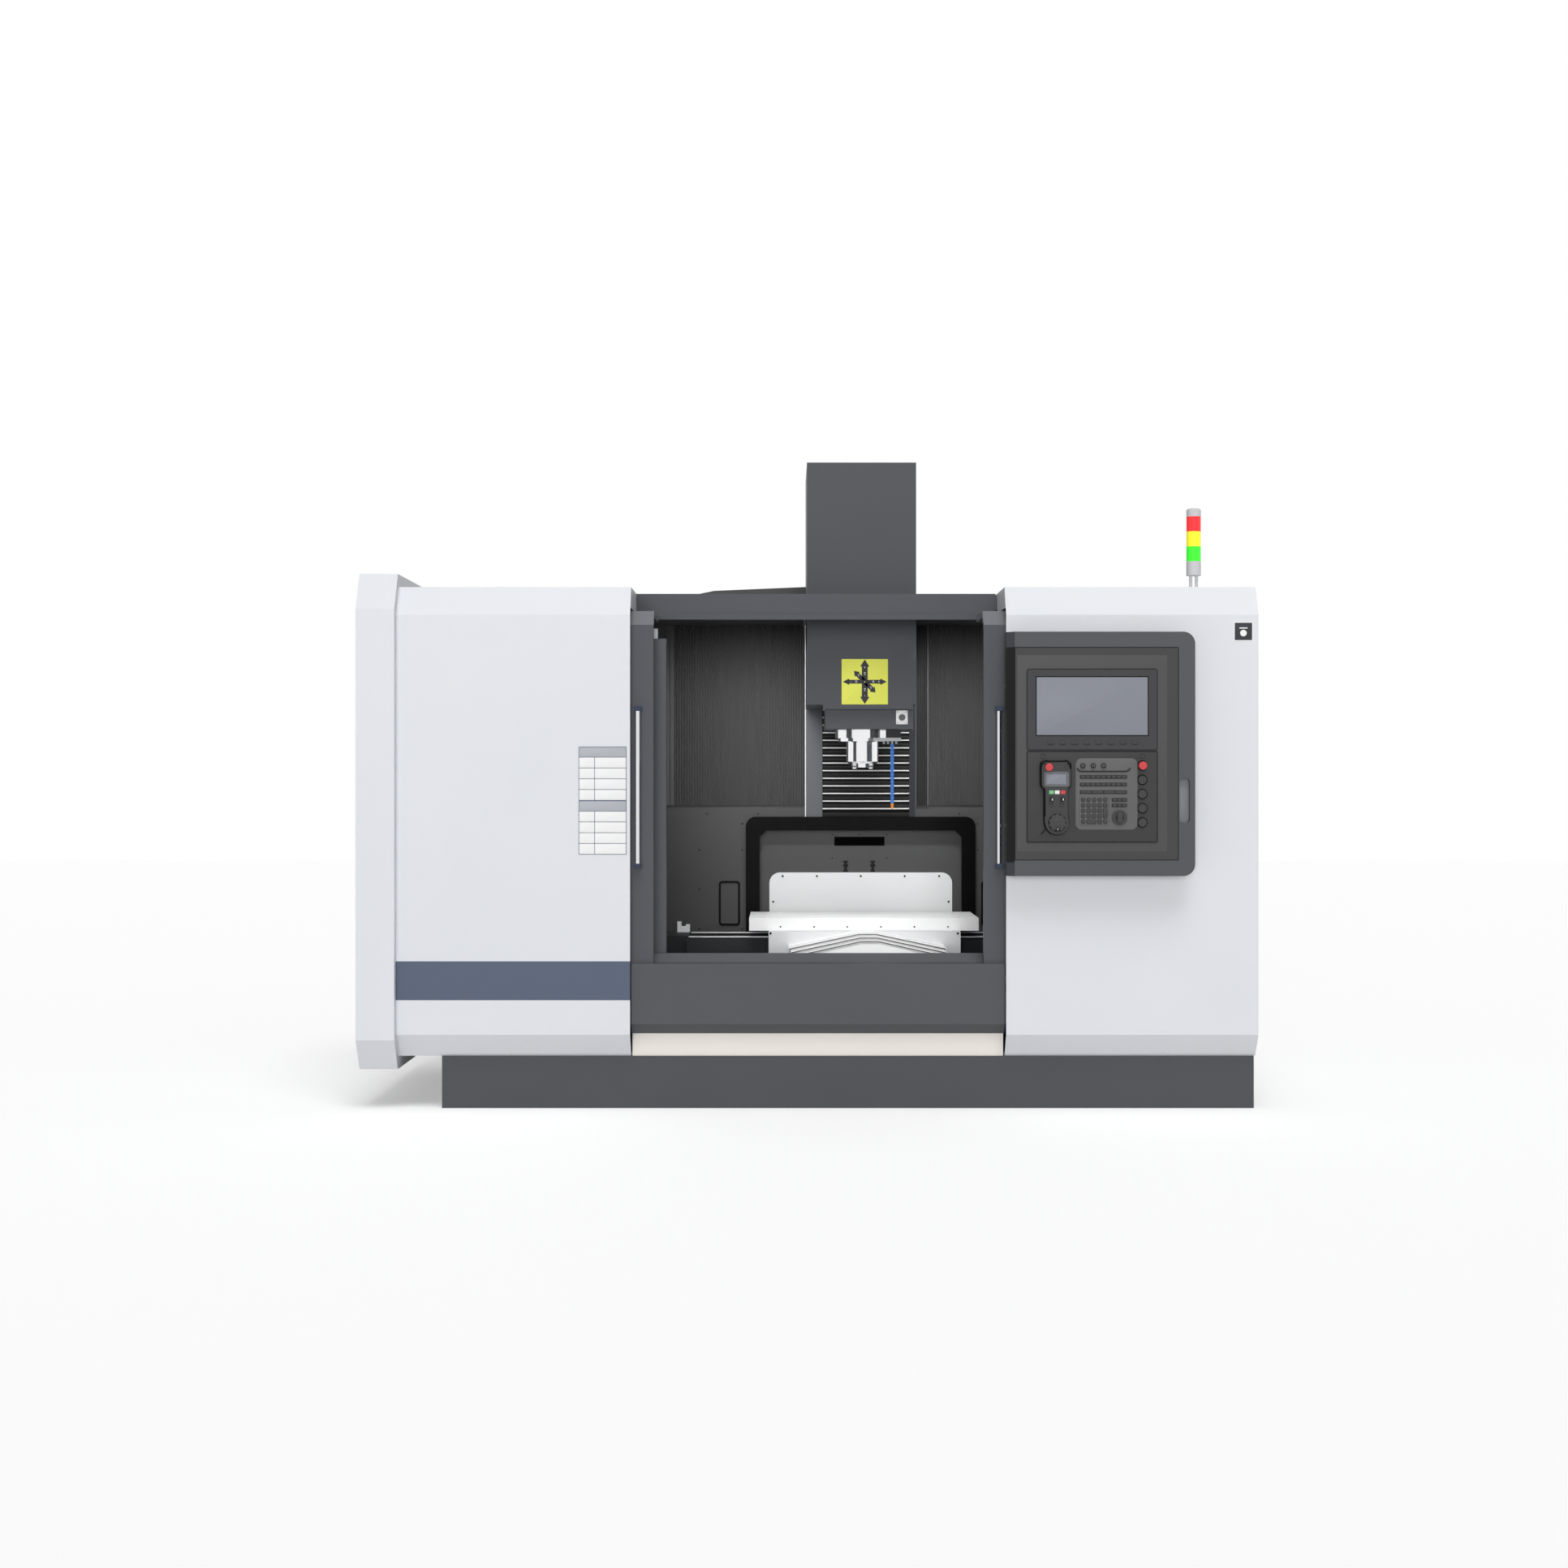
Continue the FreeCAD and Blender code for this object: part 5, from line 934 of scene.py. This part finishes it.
def panelDetails():
    size = {"fascia": ((815.0, 1400.0), (-108.5, -107.8), (1022.0, 1788.0)),
            "grip": ((1447.3, 1487.7), (-88.0, -85.5), (1135.3, 1306.7)),
            "display": ((890.6, 1323.4), (-112.2, -111.0), (1476.6, 1702.4)),
            "pendantDisplay": ((926.5, 1005.0), (-128.5, -127.5), (1284.0, 1327.0)),
            "gasketRise": 0.7,
            # x, z, how far its plane stands out, corner and width of each gasket
            "gaskets": [((805.0, 1445.0), (988.0, 1820.0), 108.0, 4.0, 2.5),
                        ((852.0, 1362.0), (1418.0, 1735.0), 113.0, 12.0, 2.0),
                        ((852.0, 1362.0), (1058.0, 1414.0), 113.0, 5.0, 2.5),
                        ((887.0, 1327.0), (1473.0, 1706.0), 113.0, 3.0, 3.0)],
            "softKey": ((933.0, 957.0), (-113.8, -113.0), (1438.0, 1447.0)), "softPitch": 47.3,
            "softKeys": 8, "markDepth": (-113.5, -113.0), "marks": [(915.0, 1394.0), (1302.0, 1394.0)],
            "markRadius": 10.0}
    raised = roundedPlate("fasciaPanel", *size["fascia"], fasciaCoat, corner=3.0)
    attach(raised, "operator_panel")

    # the grip hole is closed behind by a grey plate: painted shade that stands in for the shadow inside the
    # hole
    backing = roundedPlate("gripHoleShadePlate", *size["grip"], gripHoleShade, corner=13.5, rim=2.0)
    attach(backing, "operator_panel")

    # thin black gaskets round the fascia, the two plates and the display
    gaskets = [roundedFrame("gasket", x, (-reach - size["gasketRise"], -reach), z, blackBezel, corner, width)
               for x, z, reach, corner, width in size["gaskets"]]
    whole = joinAll("panelGaskets", gaskets)
    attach(whole, "operator_panel")

    glass = roundedPlate("displayGlass", *size["display"], screenGlass, corner=1.5, rim=0.8)
    small = roundedPlate("pendantGlass", *size["pendantDisplay"], screenGlass, corner=3.0, rim=0.5)
    display = joinAll("panelDisplays", [glass, small])
    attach(display, "operator_panel")

    softKey = roundedFrame("softKey", *size["softKey"], dialPlastic, corner=2.5, width=1.6)
    marks = rowOf(softKey, (size["softPitch"], 0, 0), size["softKeys"])
    marks += [roundRing("roundMark", x, z, size["markDepth"], size["markRadius"], dialPlastic, 1.8)
              for x, z in size["marks"]]
    whole = joinAll("panelMarks", marks)
    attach(whole, "operator_panel")


panelDetails()


def buttonRings():
    # raised rims round the four push buttons and the stop
    size = {"x": 1302.0, "heights": (1302.0, 1246.6, 1191.2, 1135.8, 1357.5), "depth": (-115.0, -113.0),
            "outer": 20.5, "width": 3.0, "edge": 0.5}
    top = size["heights"][0]
    ring = startDisc("buttonRing", size["x"], top, size["depth"], size["outer"], blackBezel, 40)
    hollowOut(ring, size["width"])
    pickEdges(ring, lambda place, along: place.y < inScene(0, size["depth"][0] + 0.5, 0).y)
    bevelPicked(size["edge"], 2)
    finishShape()
    rings = joinAll("buttonRings", [ring] + copiesAt(ring, [(0, 0, z - top) for z in size["heights"][1:]]))
    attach(rings, "operator_panel")


buttonRings()


def keypadFace():
    size = {"plate": ((853.0, 1361.0), (-113.0, -108.0), (1059.0, 1413.0)), "field": -115.0,
            "fieldPlate": ((1042.0, 1283.0), (-115.0, -113.0), (1108.0, 1386.0)),
            # each row of keys: where it lies in x, its middle height and its number of keys
            "rows": [((1058.2, 1242.3), 1313.6, 9), ((1058.2, 1242.3), 1284.0, 9),
                     ((1058.2, 1242.3), 1254.2, 4), ((1182.5, 1242.3), 1224.0, 3),
                     ((1182.5, 1242.3), 1202.8, 3)],
            "rowHeight": 14.6, "rowFront": -118.4, "rowGap": 2.2, "rowEdge": 2.0,
            "padX": 1071.1, "padZ": 1224.7, "padPitch": 21.5, "half": 8.5, "keyFront": -118.0,
            "keyCorner": 4.0, "outline": 14.0,
            # x and z of the first key switch, the step to the next and how many
            "switches": (1070.0, 1357.5, 40.6, 3), "barrel": (-121.0, 10.2),
            "switchFaceHighlight": (5.6, 7.0), "faceDepth": (-122.6, -121.6), "blade": (1.6, 8.0),
            "bladeDepth": (-126.5, -122.0), "lipWidth": 4.8, "lipRise": 4.0,
            "lip": [(1047.5, 1348.4), (1052.0, 1341.0), (1058.0, 1337.0), (1066.0, 1335.3),
                    (1236.0, 1335.3), (1244.0, 1337.0), (1250.0, 1341.0), (1254.5, 1348.4)]}
    face = size["field"]
    pieces = [roundedPlate("keypadPlate", *size["plate"], keypadPlastic, corner=3.0),
              roundedPlate("keyField", *size["fieldPlate"], fieldPlastic, corner=24.0, rim=0.6)]

    # rows of keys in a dark groove
    tall, gap = size["rowHeight"] / 2, size["rowGap"]
    for x, z, count in size["rows"]:
        pieces.append(roundedPlate("keyGroove", x, (face - 1, face), around(z, tall), groovePlastic,
                                   corner=2.5, rim=0.3))
        pitch = (x[1] - x[0] - 2 * gap) / count
        left = x[0] + gap * 1.5
        key = roundedPlate("rowKey", (left, left + pitch - gap), (size["rowFront"], face),
                           around(z, tall - size["rowEdge"]), keyPlastic, corner=1.6, rim=1.0)
        pieces += rowOf(key, (pitch, 0, 0), count)

    # the number pad: round keys along two sides, square ones, a wide and a tall one
    pitch, half = size["padPitch"], size["half"]
    firstX, firstZ = size["padX"], size["padZ"]

    def padKey(name, columns, rows, corner):
        x = (firstX + columns[0] * pitch - half, firstX + columns[1] * pitch + half)
        z = (firstZ - rows[1] * pitch - half, firstZ - rows[0] * pitch + half)
        return roundedPlate(name, x, (size["keyFront"], face), z, keyPlastic, corner, rim=2.0)

    roundKey = padKey("roundKey", (0, 0), (0, 0), half * nearlyRound)
    spots = [(0, row) for row in range(1, 5)] + [(column, 0) for column in range(1, 5)] + [(4, 4)]
    pieces += [roundKey] + copiesAt(roundKey, [(c * pitch, 0, -r * pitch) for c, r in spots])
    squareKey = padKey("squareKey", (1, 1), (1, 1), size["keyCorner"])
    spots = [(column, row) for column in range(3) for row in range(3)][1:] + [(3, 0), (2, 3)]
    pieces += [squareKey] + copiesAt(squareKey, [(c * pitch, 0, -r * pitch) for c, r in spots])
    pieces += [padKey("wideKey", (1, 2), (4, 4), size["keyCorner"]),
               padKey("tallKey", (4, 4), (2, 3), size["keyCorner"])]
    margin = size["outline"]
    pieces.append(roundedFrame("padOutline", (firstX - margin, firstX + 4 * pitch + margin),
                               (face - 0.3, face), (firstZ - 4 * pitch - margin, firstZ + margin),
                               groovePlastic, corner=9, width=0.9))

    # key switches: a black barrel, a face painted light grey as a painted highlight on its chrome, and the
    # dark blade of the key
    x, z, step, count = size["switches"]
    barrelFront, radius = size["barrel"]
    barrel = softDisc("switchBarrel", x, z, (barrelFront, face), radius, dialPlastic, 32, rim=1.5, rise=1.0)
    wide, high = size["switchFaceHighlight"]
    bright = roundedPlate("switchFaceHighlight", around(x, wide), size["faceDepth"], around(z, high), rimPlastic,
                          corner=5.4, rim=0.6)
    thin, long = size["blade"]
    blade = roundedPlate("switchBlade", around(x, thin), size["bladeDepth"], around(z, long), dialPlastic,
                         corner=1.4, rim=0.5)
    pieces += rowOf(joinAll("keySwitch", [barrel, bright, blade]), (step, 0, 0), count)

    # the lip under the switches, its ends turned up
    pieces.append(barAlong("switchLip", size["lip"], size["lipWidth"], (face - size["lipRise"], face),
                           dialPlastic))
    whole = joinAll("keypadFace", pieces)
    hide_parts("keypad")
    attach(whole, "operator_panel")


keypadFace()


def feedDial():
    size = {"x": 1213.0, "z": 1155.0, "back": -115.4, "disc": -123.0, "front": -134.0, "radius": 29.5,
            "rim": (1.6, 1.2), "ring": 7.0, "groove": (1.0, -0.8), "sink": 0.4, "grip": (9.5, 21.0),
            "gripShade": (13.5, 2.0, 9.0)}
    x, z = size["x"], size["z"]
    disc = startDisc("dialDisc", x, z, (size["disc"], size["back"]), size["radius"], wheelPlastic, 64)
    softenFront(disc, *size["rim"])
    insetBy(size["ring"])
    insetBy(*size["groove"])
    finishShape()
    across, along = size["grip"]
    foot = size["disc"] - size["sink"]
    pieces = [disc, roundedPlate("dialGrip", around(x, across), (size["front"], foot), around(z, along),
                                 wheelPlastic, corner=8.0, rim=2.0)]
    # dark plates at both sides of the grip: painted shade along its sides
    offset, wide, tall = size["gripShade"]
    for middle in around(x, offset):
        pieces.append(roundedPlate("dialGripShade", around(middle, wide), (foot - 1, foot), around(z, tall),
                                   groovePlastic, corner=1.9, rim=0.3))
    whole = joinAll("feedDial", pieces)
    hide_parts("override_dial")
    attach(whole, "feed_dial")


feedDial()


def pendantWheel():
    # lobed wheel: every other edge of a disc drawn outwards, and all of them rounded
    size = {"x": 969.0, "z": 1135.0, "depth": (-141.0, -129.5), "radius": 30.0, "lobes": 10,
            "lobeGrowth": 1.19, "lobeRound": 3.0, "rim": (1.6, 1.0), "crankZ": 1108.5,
            "crankDepth": (-148.0, -142.2), "crankRadius": 7.5, "crankRim": (1.4, 1.0),
            "mark": ((967.8, 970.2), (-149.6, -149.0), (1107.5, 1113.0))}
    x, z = size["x"], size["z"]
    middle = inScene(x, 0, z)
    step = math.pi / size["lobes"]

    def onLobe(place, along):
        turn = math.atan2(place.x - middle.x, place.z - middle.z) / step
        return runsBack(place, along) and round(turn) % 2 == 0

    wheel = startDisc("wheel", x, z, size["depth"], size["radius"], wheelPlastic, 2 * size["lobes"])
    pickEdges(wheel, onLobe)
    bpy.ops.transform.resize(value=(size["lobeGrowth"], 1, size["lobeGrowth"]))
    pickEdges(wheel, runsBack)
    bevelPicked(size["lobeRound"], 4)
    softenFront(wheel, *size["rim"])
    finishShape(50)
    crank = softDisc("crank", x, size["crankZ"], size["crankDepth"], size["crankRadius"], dialPlastic, 32,
                     *size["crankRim"])
    mark = roundedPlate("crankMark", *size["mark"], signWhite, corner=1.0, rim=0.2)
    whole = joinAll("pendantWheel", [wheel, crank, mark])
    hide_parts("handwheel")
    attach(whole, "pendant_wheel")


pendantWheel()


def pendantDetails():
    size = {"face": -129.0, "cradle": (-124.0, -113.0), "headX": (901.5, 1025.0), "headZ": (1266.0, 1379.6),
            "neckX": (915.5, 1012.0), "neckZ": (1136.0, 1270.0), "foot": (967.0, 1136.0, 50.0),
            "shadowDisc": (969.0, 1135.0, 34.5), "rim": ((918.4, 1014.4), (-130.2, -127.5), (1276.0, 1334.0)),
            "hook": [(906.5, 1089.5), (923.5, 1109.0)], "hookDepth": (-123.0, -119.0), "hookWidth": 2.8,
            "edging": [(1020.5, 1345.0), (1018.5, 1364.0), (1008.0, 1374.5), (921.0, 1374.5), (909.5, 1365.0),
                       (906.0, 1352.0), (906.0, 1284.0), (910.0, 1273.0), (920.5, 1261.0), (920.5, 1160.0)],
            "edgingWidth": 6.0, "handle": ((933.0, 1000.0), (-127.0, -120.0), (1375.2, 1378.6)),
            "rings": [(1005.3, 1352.3, 9.0), (944.7, 1203.6, 8.0), (986.8, 1203.6, 8.0)],
            "screws": [(918.5, 1364.0), (1010.4, 1364.0)], "screwRadius": 3.2, "screwRise": 1.2,
            "knobs": [(949.4, 1226.0), (991.4, 1226.0)],
            "mark": (0.9, 4.5), "markDepth": (-139.6, -139.0), "markTurns": (-28, 28)}
    face = size["face"]
    pieces = [roundedPlate("cradleHead", size["headX"], size["cradle"], size["headZ"], blackBezel,
                           corner=20.0, rim=1.5),
              roundedPlate("cradleNeck", size["neckX"], size["cradle"], size["neckZ"], blackBezel,
                           corner=4.0, rim=1.5)]
    # the black disc behind the wheel is painted shade, seen in the notches between its lobes
    for name, (x, z, radius), depth in (("cradleFoot", size["foot"], size["cradle"]),
                                        ("wheelShadowDisc", size["shadowDisc"], (face - 0.5, face + 0.5))):
        pieces.append(softDisc(name, x, z, depth, radius, blackBezel, 48, rim=1.2, rise=0.4))
    # the grey plate along the cradle's top is its top bar, lighter grey as a painted highlight along the top
    # edge
    pieces += [barAlong("cradleHook", size["hook"], size["hookWidth"], size["hookDepth"], blackBezel),
               barAlong("cradleEdging", size["edging"], size["edgingWidth"], (face - 1.2, face), blackBezel),
               roundedFrame("displayRim", *size["rim"], rimPlastic, corner=9.5, width=8.5),
               roundedPlate("cradleTopHighlight", *size["handle"], rimPlastic, corner=1.2)]
    pieces += [roundRing("faintRing", x, z, (face - 0.3, face), radius, groovePlastic, 1.4)
               for x, z, radius in size["rings"]]
    pieces += screwsAt(size["screwRadius"], size["screwRise"], face, size["screws"])
    wide, tall = size["mark"]
    for x, z in size["knobs"]:
        for angle in size["markTurns"]:
            mark = roundedPlate("knobMark", around(x, wide), size["markDepth"], around(z, tall), signWhite,
                                corner=0.8, rim=0.2)
            turnPiece(mark, angle, x, z)
            pieces.append(mark)
    whole = joinAll("pendantDetails", pieces)
    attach(whole, "operator_panel")


pendantDetails()
print("panel detailed")


# ---- spindle details

def flangeScrews():
    # cap screws in the underside of the spindle ring
    size = {"x": 244.0, "depth": 880.0, "under": 1468.0, "circle": 88.0, "radius": 6.0, "rise": 1.6,
            "count": 6, "rim": 0.8, "rimDrop": 0.6, "socket": (2.4, -3.0)}
    circle = size["circle"]
    clearSelection()
    bpy.ops.mesh.primitive_cylinder_add(
        vertices=24, radius=size["radius"] / 1000, depth=size["rise"] / 1000,
        location=inScene(size["x"] + circle, size["depth"], size["under"] - size["rise"] / 2))
    screw = started("flangeScrew", blackSteel)
    pickFaces(screw, lambda place, normal: normal.z < -0.9)
    insetBy(size["rim"])
    bpy.ops.transform.translate(value=(0, 0, -size["rimDrop"] / 1000))
    insetBy(*size["socket"])
    finishShape()
    angles = [2 * math.pi * i / size["count"] for i in range(1, size["count"])]
    moves = [(circle * (math.cos(angle) - 1), circle * math.sin(angle), 0) for angle in angles]
    whole = joinAll("flangeScrews", [screw] + copiesAt(screw, moves))
    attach(whole, "head")


flangeScrews()
print("spindle detailed")


# ---- floor, light and camera

def directly(tree):
    # 1 where the camera sees a surface, by itself or in metal and glass
    light = add(tree, "LightPath").outputs
    shown = light["Is Camera Ray"]
    for kind in ("Is Glossy Ray", "Is Transmission Ray"):
        shown = add(tree, "Math", {"operation": "MAXIMUM"}, {0: shown, 1: light[kind]}).outputs[0]
    return shown


def studioFloor():
    size = {"span": 60.0, "lift": 0.34}
    clearSelection()
    bpy.ops.mesh.primitive_plane_add(size=size["span"], location=(0, 0, 0))
    floor = bpy.context.object
    floor.name = "studioFloor"
    mat = bpy.data.materials.new("studioFloorPaint")
    mat.use_nodes = True
    tree = mat.node_tree
    shader = tree.nodes["Principled BSDF"]
    shader.inputs["Base Color"].default_value = linear("#f4f4f4")
    shader.inputs["Roughness"].default_value = 0.9
    lift = add(tree, "Math", {"operation": "MULTIPLY", 1: size["lift"]}, {0: directly(tree)}).outputs[0]
    glow = add(tree, "Emission", {"Color": (1, 1, 1, 1)}, {"Strength": lift}).outputs[0]
    both = add(tree, "AddShader", None, {0: shader.outputs[0], 1: glow}).outputs[0]
    tree.links.new(both, tree.nodes["Material Output"].inputs["Surface"])
    floor.data.materials.append(mat)


def studioSky():
    world = bpy.data.worlds.new("studio")
    world.use_nodes = True
    tree = world.node_tree
    skyLevel, shownLevel = 0.27, 1.0
    level = add(tree, "MapRange", {3: skyLevel, 4: shownLevel}, {0: directly(tree)}).outputs[0]
    back = tree.nodes["Background"]
    back.inputs["Color"].default_value = (1, 1, 1, 1)
    tree.links.new(level, back.inputs["Strength"])
    bpy.context.scene.world = world


def lampOf(name, kind, power, turns, hiddenFrom):
    light = bpy.data.lights.new(name, kind)
    light.energy = power
    lamp = bpy.data.objects.new(name, light)
    lamp.rotation_euler = [math.radians(turn) for turn in turns]
    for ray in hiddenFrom:
        setattr(lamp, "visible_" + ray, False)
    bpy.context.collection.objects.link(lamp)
    return light, lamp


def studioLamps():
    # strength, angle of its disc, turns and the rays that don't see it
    suns = {"frontSun": (1.66, 24.0, (87.0, 0.0, -4.0), ["glossy"]),
            "topSun": (1.25, 30.0, (29.0, 0.0, 8.0), [])}
    for name, (strength, angle, turns, hiddenFrom) in suns.items():
        lampOf(name, "SUN", strength, turns, hiddenFrom)[0].angle = math.radians(angle)

    # Work lights under the roof of the chamber: one over the ways, one on each side of the head.
    # Then pale panels on both sides of the spindle, which only its polish shows. Each has its place
    # in mm, its width and length in m, its turns, strength and spread, and the rays that don't see it.
    areas = {"wayLight": ((240, 500, 1940), (1.1, 0.2), (12, 0, 0), 1.0, 50, ["camera", "glossy"]),
             "leftWorkLight": ((-230, 720, 1900), (0.4, 0.1), (42, 0, 0), 2.4, 110, ["camera"]),
             "rightWorkLight": ((680, 720, 1900), (0.4, 0.1), (42, 0, 0), 2.4, 110, ["camera"]),
             "leftPanel": ((-330, 930, 1540), (0.34, 0.56), (0, -90, 0), 0.6, 180,
                           ["camera", "diffuse", "transmission"]),
             "rightPanel": ((740, 930, 1540), (0.34, 0.56), (0, 90, 0), 0.6, 180,
                            ["camera", "diffuse", "transmission"])}
    for name, (place, span, turns, power, spread, hiddenFrom) in areas.items():
        light, lamp = lampOf(name, "AREA", power, turns, hiddenFrom)
        light.shape = "RECTANGLE"
        light.size, light.size_y = span
        light.spread = math.radians(spread)
        lamp.location = inScene(*place)


def photoCamera():
    view = {"place": (-0.094, -10.570, 1.286), "lens": 55.90, "sensor": 36.0}
    cameraData = bpy.data.cameras.new("photoCamera")
    cameraData.lens = view["lens"]
    cameraData.sensor_width = view["sensor"]
    camera = bpy.data.objects.new("photoCamera", cameraData)
    camera.location = view["place"]
    camera.rotation_euler = (math.pi / 2, 0, 0)
    bpy.context.collection.objects.link(camera)
    bpy.context.scene.camera = camera
    bpy.context.scene.view_settings.view_transform = "Standard"


studioFloor()
studioSky()
studioLamps()
photoCamera()
print("studio ready")
